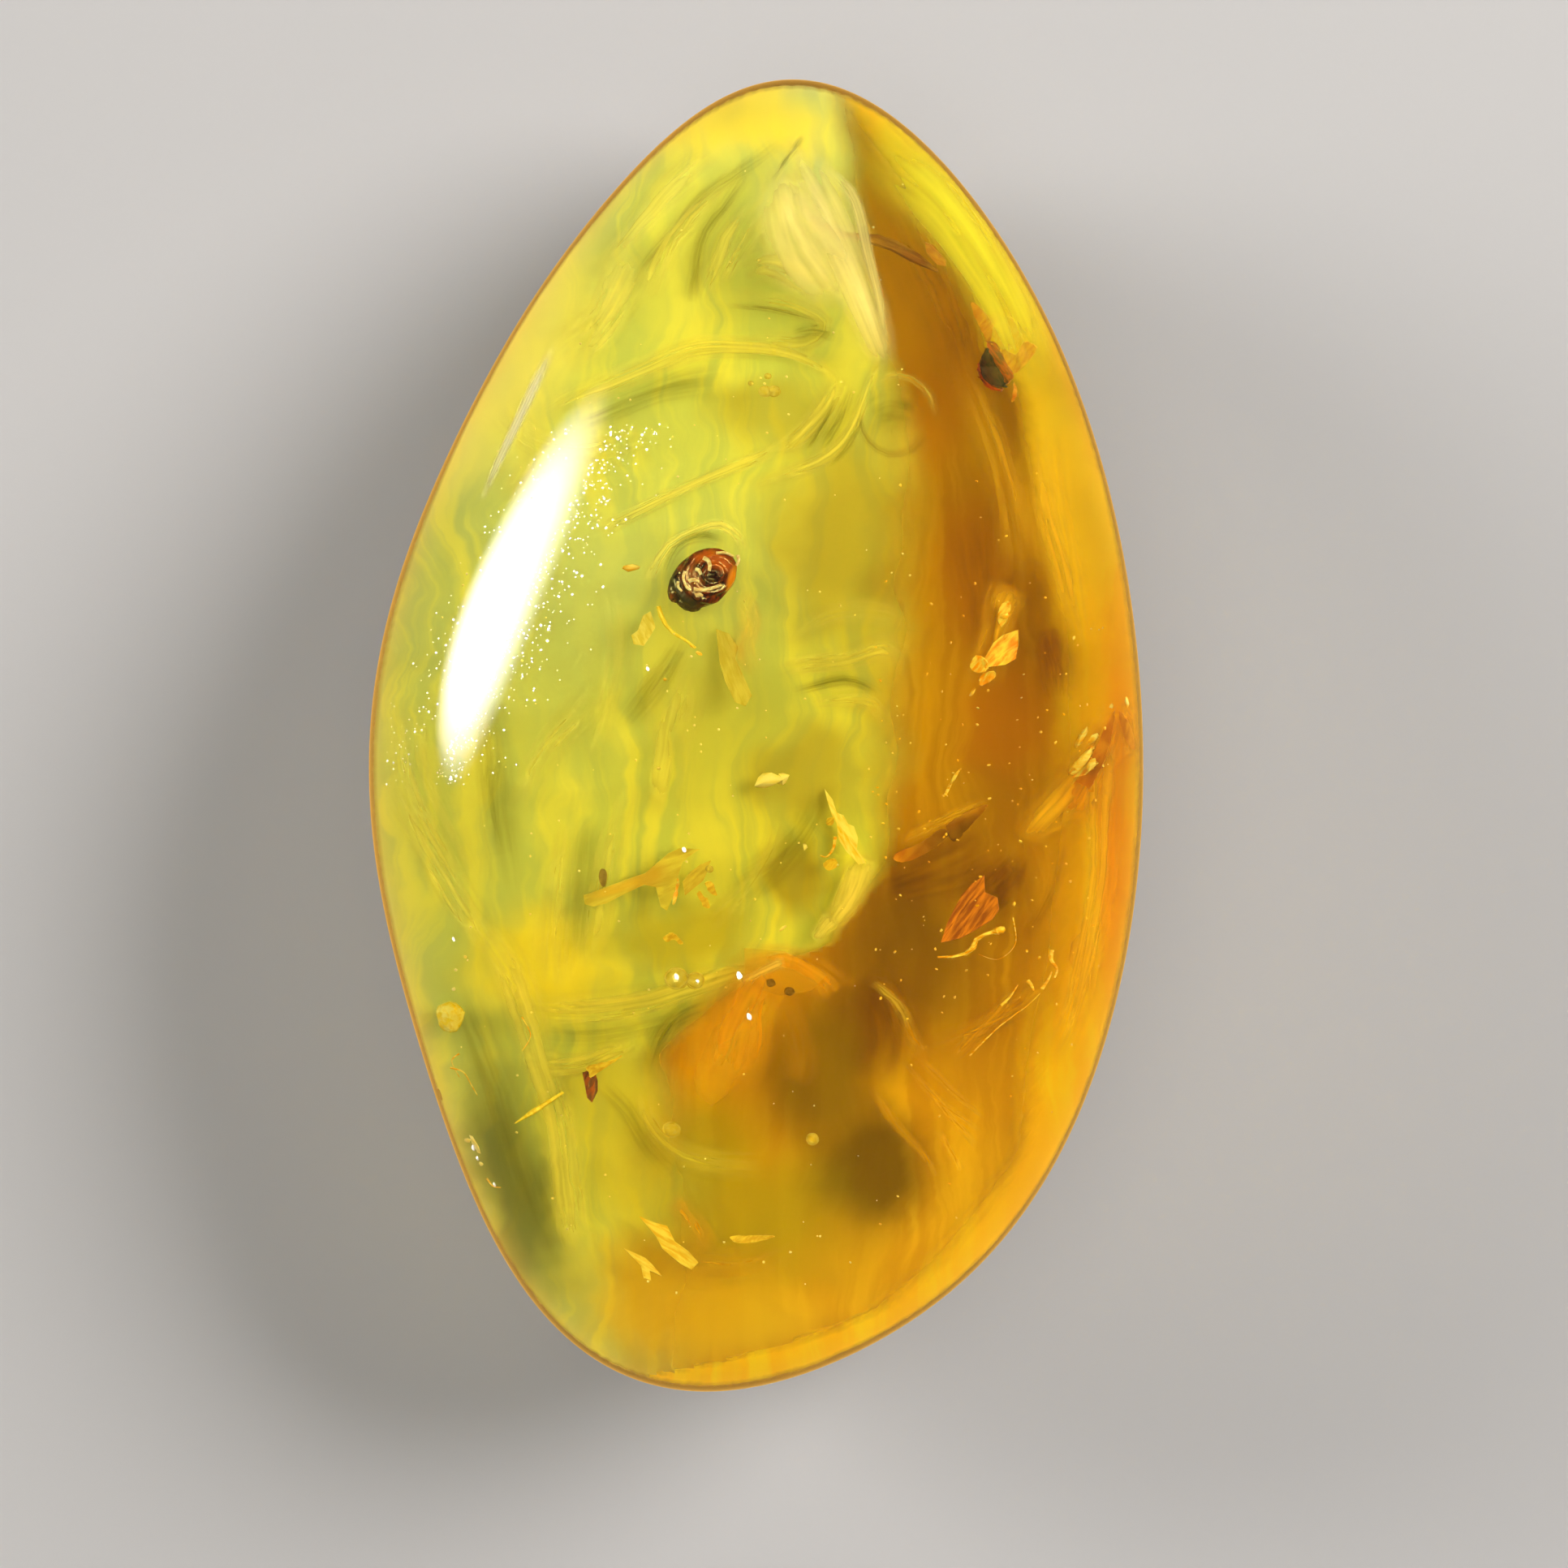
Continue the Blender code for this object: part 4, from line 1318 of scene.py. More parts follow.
@dataclass
class Threads:
    """Fine bright threads and curls."""

    lens: DomeLens
    finish: ScrapFinish = ScrapFinish(
        "bright_resin_thread", "#F0B020", "#FFF0A0", grain_mm=0.15, roughness=0.2, relief=0.2
    )
    threads: tuple[Thread, ...] = (
        Thread(((3.05, -3.92), (2.99, -4.39), (2.74, -4.67), (2.50, -4.63)), 0.06),
        Thread(((11.33, -8.23), (11.30, -8.6), (11.52, -8.94), (11.45, -9.3)), 0.07),
        Thread(((10.40, -9.41), (10.55, -9.55), (10.65, -9.81)), 0.08),
        Thread(((10.96, -9.75), (11.2, -9.35), (11.33, -9.04)), 0.06),
        Thread(((9.38, -10.37), (9.75, -10.0), (10.00, -9.56)), 0.05),
        # Painted highlight: this short bright thread stands for a streak of glint.
        Thread(((7.26, -2.30), (7.55, -1.75), (7.85, -1.30)), 0.06),
        Thread(((8.20, -12.3), (9.3, -11.2), (10.4, -10.4), (10.9, -9.9)), 0.03),
        Thread(((-11.64, -12.73), (-11.14, -12.91), (-10.83, -13.38), (-10.62, -13.78)), 0.035),
        Thread(((-11.3, -12.2), (-11.6, -12.5), (-11.3, -13.1)), 0.03),
        Thread(((-10.25, -16.97), (-10.03, -17.25), (-9.72, -17.31)), 0.05),
        Thread(((-8.9, -10.8), (-8.6, -11.5), (-8.9, -12.1)), 0.025),
        Thread(((9.87, -7.0), (9.95, -8.0), (9.3, -8.6), (8.5, -8.4)), 0.02),
    )

    def build(self) -> bpy.types.Object:
        """Builds all the threads as one piece."""
        parts = []
        for i, thread in enumerate(self.threads):

            def level(x: float, y: float, lift: float = thread.lift) -> float:
                """Gives the thread's height over the floor."""
                return STONE.sheet(x, y) + lift

            points = [self.lens.place(x, y, level) for x, y in thread.route]
            parts.append(tube(points, thread.radius, f"thread_{i}"))
        return dress(joined(parts, "bright_threads"), self.finish.material())


@dataclass(frozen=True)
class Grain:
    """One grain: where it is seen from above, its half size, and how it is stretched and turned."""

    x: float
    y: float
    radius: float
    stretch: float = 1.0
    turn: float = 0.0
    lift: float = 0.3
    on_surface: bool = False


def grain_piece(
    lens: DomeLens, name: str, grains: list[Grain], finish: ScrapFinish, seed: int
) -> bpy.types.Object:
    """Makes many small uneven grains as one piece.

    Args:
        lens: The dome's lens.
        name: The piece's name.
        grains: The grains.
        finish: Their finish.
        seed: The start of the chance that makes each one uneven.

    Returns:
        The finished piece.
    """
    chance = random.Random(seed)
    deselect_all()
    bpy.ops.mesh.primitive_ico_sphere_add(subdivisions=1, radius=1.0)
    model = bpy.context.object
    parts = []
    for i, grain in enumerate(grains):

        def level(x: float, y: float, lift: float = grain.lift) -> float:
            """Gives the grain's height over the floor."""
            return STONE.sheet(x, y) + lift

        data = model.data.copy()
        for vertex in data.vertices:
            vertex.co *= chance.uniform(0.75, 1.25)
        turn = Matrix.Rotation(math.radians(grain.turn), 4, "Z")
        size = grain.radius * MM
        scale = Matrix.Diagonal((size * grain.stretch, size / math.sqrt(grain.stretch), size * 0.8, 1.0))
        if grain.on_surface:
            place = lens.surface_point(grain.x, grain.y)
        else:
            place = lens.place(grain.x, grain.y, level)
        spot = Matrix.Translation(place * MM)
        data.transform(spot @ turn @ scale)
        part = bpy.data.objects.new(f"{name}_{i}", data)
        bpy.context.scene.collection.objects.link(part)
        parts.append(part)
    bpy.data.objects.remove(model)
    piece = joined(parts, name)
    select_only(piece)
    bpy.ops.object.shade_smooth_by_angle(angle=math.radians(50))
    return dress(piece, finish.material())


@dataclass
class Specks:
    """Dust, crumbs and sparks, too small to be separate pieces."""

    lens: DomeLens
    dust_count: int = 760
    haze_count: int = 200
    spark_count: int = 170
    gleam_middle: Point = (-9.4, 5.2)
    gleam_along: Point = (0.452, 0.892)
    # Painted highlights: white grains on the dome over the bubble pair and at other bright spots, standing
    # for glints.
    glints: tuple[tuple[float, float, float], ...] = (
        (-3.02, -9.28, 0.10),
        (-2.20, -9.44, 0.06),
        (-2.71, -4.42, 0.10),
        (-0.60, -9.22, 0.12),
        (-0.23, -10.80, 0.11),
        (-4.11, 2.50, 0.07),
        (-11.52, -7.83, 0.07),
        (-10.75, -15.8, 0.10),
        (-10.60, -16.2, 0.08),
        (-9.95, -17.2, 0.07),
    )

    def dust_and_painted_glints(self) -> list[Grain]:
        """Strews fine white dust on the dome, only round the place where the light glances off it: partly
        dust, partly painted glints.
        """
        chance = random.Random(7)
        along = Vector(self.gleam_along)
        grains = [Grain(x, y, radius, 1.3, 110, on_surface=True) for x, y, radius in self.glints]
        for _ in range(self.dust_count):
            reach = abs(chance.gauss(0.0, 1.1)) + 0.5
            shift = along * chance.uniform(-8.0, 7.5)
            shift.x += reach if chance.random() < 0.75 else -reach
            place = Vector(self.gleam_middle) + shift
            if STONE.inwardness(*place) < 0.96:
                grains.append(Grain(*place, 0.022 + 0.038 * chance.random() ** 3, on_surface=True))
        return grains

    def pale_specks(self) -> list[Grain]:
        """Strews pale specks through the cloud, with the larger ones at their own places."""
        chance = random.Random(11)
        grains = [
            Grain(-11.08, -8.51, 0.07),
            Grain(-11.42, -9.01, 0.06),
            Grain(-11.55, -9.75, 0.08),
            Grain(-3.70, -1.3, 0.06),
            Grain(-10.68, -15.70, 0.16, 2.4, -60),
            Grain(-11.02, -15.52, 0.12, 1.5, 20),
            Grain(-10.46, -16.41, 0.10),
            Grain(0.48, -1.75, 0.36, 1.5, 5),
            Grain(1.05, -1.70, 0.22, 1.2, 60),
            Grain(1.9, -4.3, 0.10, 1.5, 100),
            # Painted highlights: these two pale grains over the bubble pair stand for the glints on the
            # bubbles.
            Grain(-3.02, -9.30, 0.13, 1.4, 90, 1.35),
            Grain(-2.22, -9.45, 0.10, 1.0, 0, 1.3),
            Grain(0.0, -6.3, 0.06),
            Grain(1.05, -7.4, 0.08, 2.0, 40),
            Grain(0.36, 13.40, 0.06),
            Grain(-0.17, 13.41, 0.05),
            Grain(0.20, 13.62, 0.04),
        ]
        for _ in range(self.haze_count):
            x, y = chance.uniform(-12.5, 6.0), chance.uniform(-22.0, 22.0)
            if STONE.inwardness(x, y) < 0.93:
                grains.append(Grain(x, y, chance.uniform(0.02, 0.05), 1.0, 0, chance.uniform(0.0, 1.5)))
        return grains

    def gold_sparks(self) -> list[Grain]:
        """Strews bright sparks through the clear right side; the larger ones listed first, by the right edge,
        are painted glints.
        """
        chance = random.Random(5)
        grains = [
            # Painted highlights: these bright grains by the right edge stand for glints.
            Grain(12.42, -0.14, 0.20, 2.2, 60),
            Grain(12.55, -0.95, 0.26, 2.0, 55),
            Grain(12.85, -1.15, 0.18, 1.6, 50),
            Grain(12.30, -1.35, 0.16, 2.2, 45),
            Grain(12.91, -0.17, 0.14, 1.8, 50),
            Grain(13.62, 1.10, 0.10),
            Grain(14.20, 1.22, 0.12, 2.0, 110),
            Grain(9.87, -6.49, 0.09),
            Grain(9.35, -7.49, 0.16, 1.2, 20),
            # Painted highlight: this drawn-out grain, like the thread at the same place, stands for a streak
            # of glint.
            Grain(7.60, -1.65, 0.12, 3.0, 60),
            Grain(9.5, 4.5, 0.12, 1.5, 30),
            Grain(8.3, 1.6, 0.10, 2.0, 60),
            Grain(2.19, -15.48, 0.14, 1.0),
            Grain(-3.45, 2.10, 0.07),
            Grain(-2.4, 3.35, 0.07, 1.6, -40, 0.1),
            Grain(-2.15, 3.1, 0.08, 1.6, -40, 0.1),
            Grain(-4.76, 6.37, 0.20, 1.6, 8, 0.2),
        ]
        for _ in range(self.spark_count):
            x, y = chance.uniform(4.5, 13.5), chance.gauss(-3.5, 6.5)
            if STONE.inwardness(x, y) < 0.95 and y < 12:
                grains.append(Grain(x, y, chance.uniform(0.02, 0.055), 1.3, chance.uniform(0, 180), 0.2))
        return grains

    def build(self) -> list[bpy.types.Object]:
        """Builds the specks of each stuff as one piece."""
        # Partly dust, partly painted glints: white grains on the dome, strewn only round the gleam of the
        # softbox.
        white = ScrapFinish("dust_and_painted_glints", "#FFFFFF", "#FFFDF0", roughness=0.6, relief=0.1)
        pale = ScrapFinish("pale_dust", "#FFF6B8", "#FFFFF0", roughness=0.5, relief=0.1)
        gold = ScrapFinish("resin_spark", "#FFC830", "#FFF2A0", roughness=0.25, relief=0.1)
        pieces = [
            grain_piece(self.lens, "dust_and_painted_glints", self.dust_and_painted_glints(), white, 1),
            grain_piece(self.lens, "pale_specks", self.pale_specks(), pale, 2),
            grain_piece(self.lens, "gold_sparks", self.gold_sparks(), gold, 3),
        ]
        for piece in pieces:
            piece.visible_shadow = False
        return pieces


@dataclass
class Bubbles:
    """Small trapped bubbles: a pale skin with a brighter ring round it, which is painted highlight of each
    bubble's rim.
    """

    lens: DomeLens
    finish: ScrapFinish = ScrapFinish(
        "bubble_skin", "#E8D860", "#FFF8B0", grain_mm=0.3, stretch=1.0, roughness=0.08, relief=0.1, alpha=0.45
    )
    bubbles: tuple[tuple[float, float, float, float], ...] = (
        (-2.99, -9.32, 0.36, 0.9),
        (-2.28, -9.41, 0.28, 0.9),
        (-3.21, -15.11, 0.26, 0.4),
        (0.36, 13.10, 0.19, 0.4),
        (0.73, 13.10, 0.19, 0.4),
        (0.48, 13.69, 0.10, 0.4),
        (-0.17, 13.41, 0.08, 0.4),
        (-1.75, -5.15, 0.12, 0.4),
        (2.19, -15.48, 0.20, 0.4),
    )

    def build(self) -> bpy.types.Object:
        """Builds the bubbles as one piece."""
        parts = []
        for i, (seen_x, seen_y, radius, lift) in enumerate(self.bubbles):
            middle = self.lens.place(seen_x, seen_y, lambda x, y, lift=lift: STONE.sheet(x, y) + lift) * MM
            deselect_all()
            bpy.ops.mesh.primitive_uv_sphere_add(
                segments=24, ring_count=16, radius=radius * MM, location=middle
            )
            ball = bpy.context.object
            # Painted highlight: the ring round each bubble stands for the bright rim that a bubble shows.
            bpy.ops.mesh.primitive_torus_add(
                major_radius=radius * MM,
                minor_radius=0.12 * radius * MM,
                major_segments=32,
                minor_segments=8,
                location=middle,
            )
            ring = bpy.context.object
            for vertex in ring.data.vertices:
                vertex.co.x *= 1 + 0.1 * ripple(vertex.co.x / MM, vertex.co.y / MM, 0.2, i)
            for part in (ball, ring):
                part.data.transform(part.matrix_world)
                part.matrix_world = Matrix.Identity(4)
            parts += [ball, ring]
        piece = joined(parts, "bubbles")
        select_only(piece)
        bpy.ops.object.shade_smooth()
        return dress(piece, self.finish.material())


@dataclass
class Beetle:
    """The small curled beetle: nested shell rings, folded legs coloured near white as painted highlight, a
    dark hind lobe and a dark side plate.
    """

    centre: tuple[float, float, float] = (-1.68, 5.45, 12.47)
    half: tuple[float, float, float] = (1.26, 0.92, 0.58)
    turn: float = 42.0
    legs: tuple[tuple[Point, ...], ...] = (
        ((0.02, 0.74), (0.16, 0.66), (0.22, 0.48), (0.20, 0.28)),
        ((-0.26, 0.34), (-0.16, 0.30), (-0.08, 0.14)),
        ((-0.50, -0.10), (-0.34, -0.04), (-0.14, -0.12)),
        ((-0.34, -0.38), (0.00, -0.40), (0.30, -0.33), (0.60, -0.22)),
        ((-0.28, -0.60), (-0.16, -0.56), (-0.04, -0.62)),
        ((0.46, 0.92), (0.75, 0.93), (1.02, 0.80)),
        ((1.14, 0.86), (1.18, 0.66), (1.10, 0.48)),
        ((-0.62, 0.26), (-0.68, 0.02), (-0.58, -0.30), (-0.44, -0.42)),
        ((-0.86, -0.10), (-0.86, -0.30), (-0.74, -0.46)),
    )

    def lump(
        self, name: str, middle: Point, half: Point, tall: float, turn: float, rings: float, rough: float
    ) -> bpy.types.Object:
        """Makes one rounded part with rings and grain on it.

        Args:
            name: The object's name.
            middle: Its place from the beetle's middle, in millimetres.
            half: Its half length and half width.
            tall: Its half height.
            turn: The turn of its length from +X, in degrees.
            rings: How deep the rings are, as a share of its size.
            rough: How deep the grain is, as a share of its size.

        Returns:
            The part's mesh object, in metres.
        """
        deselect_all()
        bpy.ops.mesh.primitive_uv_sphere_add(segments=96, ring_count=64, radius=1.0)
        obj = bpy.context.object
        obj.name = name
        for vertex in obj.data.vertices:
            unit = vertex.co.copy()
            ring = math.hypot(1.25 * unit.x - 0.35, unit.y + 0.12)
            groove = rings * math.cos(2 * math.pi * ring / 0.34) * smooth(2 * unit.z + 0.3)
            grain = rough * ripple(5 * unit.x, 5 * unit.y, 0.8, 4 * unit.z) + 0.02 * noise.noise(2.5 * unit)
            size = 1 + groove + grain
            height = unit.z * tall * (1 + 1.6 * groove + grain)
            vertex.co = (unit.x * half[0] * size, unit.y * half[1] * size, height)
        spin = Matrix.Rotation(math.radians(turn), 4, "Z")
        place = Vector(self.centre) + Vector((*middle, 0.0))
        obj.data.transform(Matrix.Scale(MM, 4) @ Matrix.Translation(place) @ spin)
        bpy.ops.object.shade_smooth()
        return obj

    def height(self, x: float, y: float) -> float:
        """Gives the body's height over its middle at a place from the middle."""
        spun = Vector((x, y)) @ Matrix.Rotation(math.radians(self.turn), 2)
        share = min(0.98, math.hypot(spun.x / self.half[0], spun.y / self.half[1]))
        return self.half[2] * math.sqrt(1 - share**2)

    def build(self) -> list[bpy.types.Object]:
        """Builds the beetle, which replaces the plain one, and its legs."""
        parts = [
            self.lump("beetle_body", (0.0, 0.0), self.half[:2], self.half[2], self.turn, 0.055, 0.012),
            self.lump("beetle_lobe", (-0.50, -0.86), (0.46, 0.30), 0.32, -24.0, 0.0, 0.06),
            self.lump("beetle_plate", (-0.62, -0.05), (0.92, 0.46), 0.40, 62.0, 0.02, 0.02),
        ]
        legs = []
        for i, leg in enumerate(self.legs):
            points = [Vector((x, y, self.height(x, y) + 0.03)) + Vector(self.centre) for x, y in leg]
            legs.append(tube(points, 0.085 if i < 5 else 0.06, f"beetle_leg_{i}", 0.7))
        x, y, _ = self.centre
        finish = ScrapFinish(
            "glossy_chitin",
            dark="#2A0C08",
            light="#7A3216",
            grain_mm=0.16,
            stretch=2.0,
            turn=62.0,
            roughness=0.14,
            relief=0.5,
            patches=(
                Patch(x + 0.55, y + 0.62, 0.62, 0.34, -30, "#C25E14", 0.85),
                Patch(x + 0.05, y + 0.80, 0.50, 0.20, 20, "#C25E14", 0.7),
                Patch(x + 0.95, y - 0.02, 0.16, 0.60, -14, "#F0960C", 0.9),
                Patch(x - 0.35, y - 0.05, 0.30, 0.60, 10, "#B06A4A", 0.5),
                Patch(x + 0.30, y + 0.02, 0.36, 0.30, 20, "#170708", 0.85),
                Patch(x - 1.00, y - 0.15, 0.26, 0.85, 16, "#23251A", 0.95),
                Patch(x - 0.50, y - 0.92, 0.62, 0.36, -20, "#2F3422", 0.95),
            ),
        )
        piece = joined(parts, "beetle_detail")
        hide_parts("beetle")
        # Painted highlight: the legs are coloured near white, so that they stand for the white highlights on
        # the beetle as well as its legs.
        limbs = ScrapFinish("pale_limb_painted_highlight", "#E8C8B0", "#FFFFFF", 0.10, 2.0, 30.0, 0.1, 0.4)
        return [
            dress(piece, finish.material()),
            dress(joined(legs, "beetle_legs"), limbs.material()),
        ]


@dataclass
class WingedInsect:
    """The winged insect: a dark drop-shaped body with red-brown bands, and thin orange and pale wings."""

    lens: DomeLens

    def build(self) -> list[bpy.types.Object]:
        """Builds the body, which replaces the plain one, and its wings."""
        body = (
            Shred(
                (
                    (8.85, 14.77), (8.70, 14.43), (8.57, 14.06), (8.73, 13.62), (9.01, 13.38), (9.32, 13.28),
                    (9.53, 13.38), (9.41, 13.78), (9.16, 14.18), (8.97, 14.55),
                ),
                0.25,
                0.34,
            ),
        )  # fmt: skip
        bands = (
            Shred(
                (
                    (8.85, 14.99), (9.16, 14.90), (9.41, 14.55), (9.66, 14.09), (9.87, 13.72), (9.69, 13.43),
                    (9.45, 13.40), (9.25, 13.95), (8.95, 14.52),
                ),
                0.15,
                0.24,
            ),
            Shred(((8.60, 14.2), (8.50, 13.9), (8.66, 13.50), (9.00, 13.24), (9.45, 13.15), (9.2, 13.30),
                   (8.80, 13.56), (8.66, 13.9)), 0.1, 0.2),
        )  # fmt: skip
        films = (
            Shred(((9.41, 14.77), (9.97, 14.49), (10.25, 14.99), (10.77, 14.77), (10.34, 14.15),
                   (9.90, 13.78),
                   (9.66, 14.06)), 0.1, 0.05),
            Shred(((8.23, 16.48), (8.48, 16.41), (8.85, 16.04), (9.32, 16.04), (9.10, 15.61), (9.04, 15.21),
                   (8.97, 14.99), (8.82, 15.05), (8.60, 15.55), (8.39, 15.98)), 0.1, 0.05),
            Shred(((9.87, 13.44), (10.0, 13.20), (9.98, 12.90), (9.81, 12.70), (9.84, 13.05)), 0.1, 0.06),
        )  # fmt: skip
        wing = (
            Shred(((9.04, 15.33), (9.16, 15.70), (9.41, 15.95), (9.75, 15.92), (10.03, 15.61), (10.18, 15.27),
                   (10.25, 14.99), (9.97, 14.77), (9.63, 14.68), (9.25, 14.83)), 0.18, 0.05),
        )  # fmt: skip
        dark = ScrapFinish("dark_husk", "#180806", "#4A2218", 0.10, 5.0, -58.0, 0.6, 0.6)
        red = ScrapFinish("red_brown_husk", "#6A1C04", "#D0560C", 0.10, 5.0, -58.0, 0.35, 0.5)
        orange = ScrapFinish("orange_wing_film", "#E88C18", "#FFB828", 0.12, 6.0, 50.0, 0.4, 0.3, 0.75)
        pale = ScrapFinish("pale_wing_film", "#F8CC28", "#FFE458", 0.15, 4.0, 60.0, 0.35, 0.3, 0.65)
        husk = shred_piece(self.lens, "winged_insect_body", body, dark)
        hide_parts("winged_insect")
        return [
            husk,
            shred_piece(self.lens, "winged_insect_bands", bands, red),
            shred_piece(self.lens, "winged_insect_flaps", films, orange),
            shred_piece(self.lens, "winged_insect_wing", wing, pale),
        ]


@dataclass
class SmallScraps:
    """Crumbs, chips and fringes that lie among the larger scraps."""

    lens: DomeLens

    def build(self) -> list[bpy.types.Object]:
        """Builds the small scraps of each stuff as one piece."""
        leaf = (
            Shred(((-3.49, -7.77), (-3.15, -7.58), (-2.77, -7.95), (-2.90, -8.01), (-3.12, -7.83),
                   (-3.39, -7.92))),
            Shred(((-6.40, -12.69), (-5.66, -12.51), (-5.07, -12.29), (-5.87, -12.82), (-6.28, -13.13),
                   (-6.37, -12.91))),
            Shred(((-1.90, -5.72), (-1.72, -5.62), (-1.55, -5.82), (-1.48, -6.14), (-1.72, -6.05)), 0.2),
            Shred(((-2.22, -6.12), (-2.08, -6.02), (-1.95, -6.22), (-1.82, -6.30), (-1.76, -6.62),
                   (-1.98, -6.55)), 0.1),
            Shred(((2.60, -4.95), (3.02, -4.75), (3.15, -5.00), (2.80, -5.20)), 0.2),
            Shred(((2.75, -3.25), (2.98, -3.18), (2.95, -3.45), (2.75, -3.45)), 0.2),
            Shred(((-0.98, -19.24), (-0.54, -19.14), (0.48, -19.14), (0.73, -19.20), (0.02, -19.39),
                   (-0.67, -19.42))),
        )  # fmt: skip
        spots = (
            Shred(((-5.94, -5.20), (-5.74, -5.16), (-5.68, -5.50), (-5.78, -5.84), (-5.96, -5.60)),
                  0.42, 0.05),
            Shred(((0.45, -9.40), (0.68, -9.36), (0.78, -9.52), (0.60, -9.66), (0.44, -9.58)), 1.0, 0.1),
            Shred(((1.15, -9.72), (1.38, -9.66), (1.52, -9.84), (1.34, -9.98), (1.14, -9.90)), 1.0, 0.1),
            Shred(((2.26, 19.78), (2.44, 19.72), (2.40, 19.55), (2.22, 19.60)), 0.45, 0.1),
            Shred(((-12.2, -13.55), (-12.05, -13.6), (-11.95, -13.95), (-12.1, -13.9)), 0.1, 0.1),
        )
        plates = (
            Shred(((8.57, 2.06), (8.70, 2.31), (9.13, 2.40), (9.13, 2.15), (8.63, 1.84)), 0.3),
            Shred(((-3.15, -6.45), (-2.98, -5.55), (-2.90, -5.70), (-3.02, -6.35)), 0.5, 0.06),
            Shred(((9.45, 5.0), (9.75, 5.05), (9.7, 4.55), (9.4, 4.1), (9.25, 4.5)), 0.2),
            Shred(((8.4, 3.0), (8.75, 2.9), (8.9, 2.5), (8.5, 2.35), (8.2, 2.6)), 0.2),
            Shred(((12.1, -1.5), (12.6, -1.05), (12.95, -0.45), (12.55, -0.7), (12.05, -1.3)), 0.3),
            Shred(((12.3, -0.4), (12.5, 0.1), (12.62, 0.2), (12.5, -0.3)), 0.3),
        )
        prisms = (
            Shred(((12.1, -2.9), (12.9, -1.9), (13.5, -0.5), (13.75, 0.9), (13.35, 0.2), (12.7, -1.2),
                   (12.0, -2.2)), 0.0, 0.05),
            Shred(((13.9, 0.9), (14.35, 0.3), (14.5, -0.6), (14.1, -0.1)), 0.0, 0.05),
            Shred(((5.3, -4.6), (6.4, -4.1), (7.1, -3.6), (7.35, -3.9), (6.6, -4.5), (5.6, -4.9)), 0.0, 0.05),
            Shred(((7.3, -3.5), (8.2, -2.9), (8.9, -2.7), (8.3, -3.4), (7.6, -4.1)), 0.0, 0.05),
        )  # fmt: skip
        return [
            shred_piece(
                self.lens,
                "leaf_crumbs",
                leaf,
                ScrapFinish("dry_leaf_crumb", "#DCB838", "#F4E060", 0.12, 3.0, 40.0),
            ),
            shred_piece(
                self.lens,
                "dark_crumbs",
                spots,
                ScrapFinish("dark_crumb", "#6A4A14", "#9A7420", 0.10, 2.0, 0.0, alpha=0.6),
            ),
            shred_piece(
                self.lens,
                "bright_plates",
                plates,
                ScrapFinish("bright_resin_plate", "#F8A818", "#FFF090", 0.14, 3.0, 55.0, 0.15, 0.8),
            ),
            shred_piece(
                self.lens,
                "orange_prisms",
                prisms,
                ScrapFinish(
                    "orange_crack_face", "#E08C14", "#FFB830", 0.5, 3.0, 55.0, 0.3, 0.4, 0.7,
                    patches=(Patch(7.0, -3.9, 2.6, 1.4, 20, "#7C5A14", 0.9),),
                ),  # fmt: skip
            ),
        ]


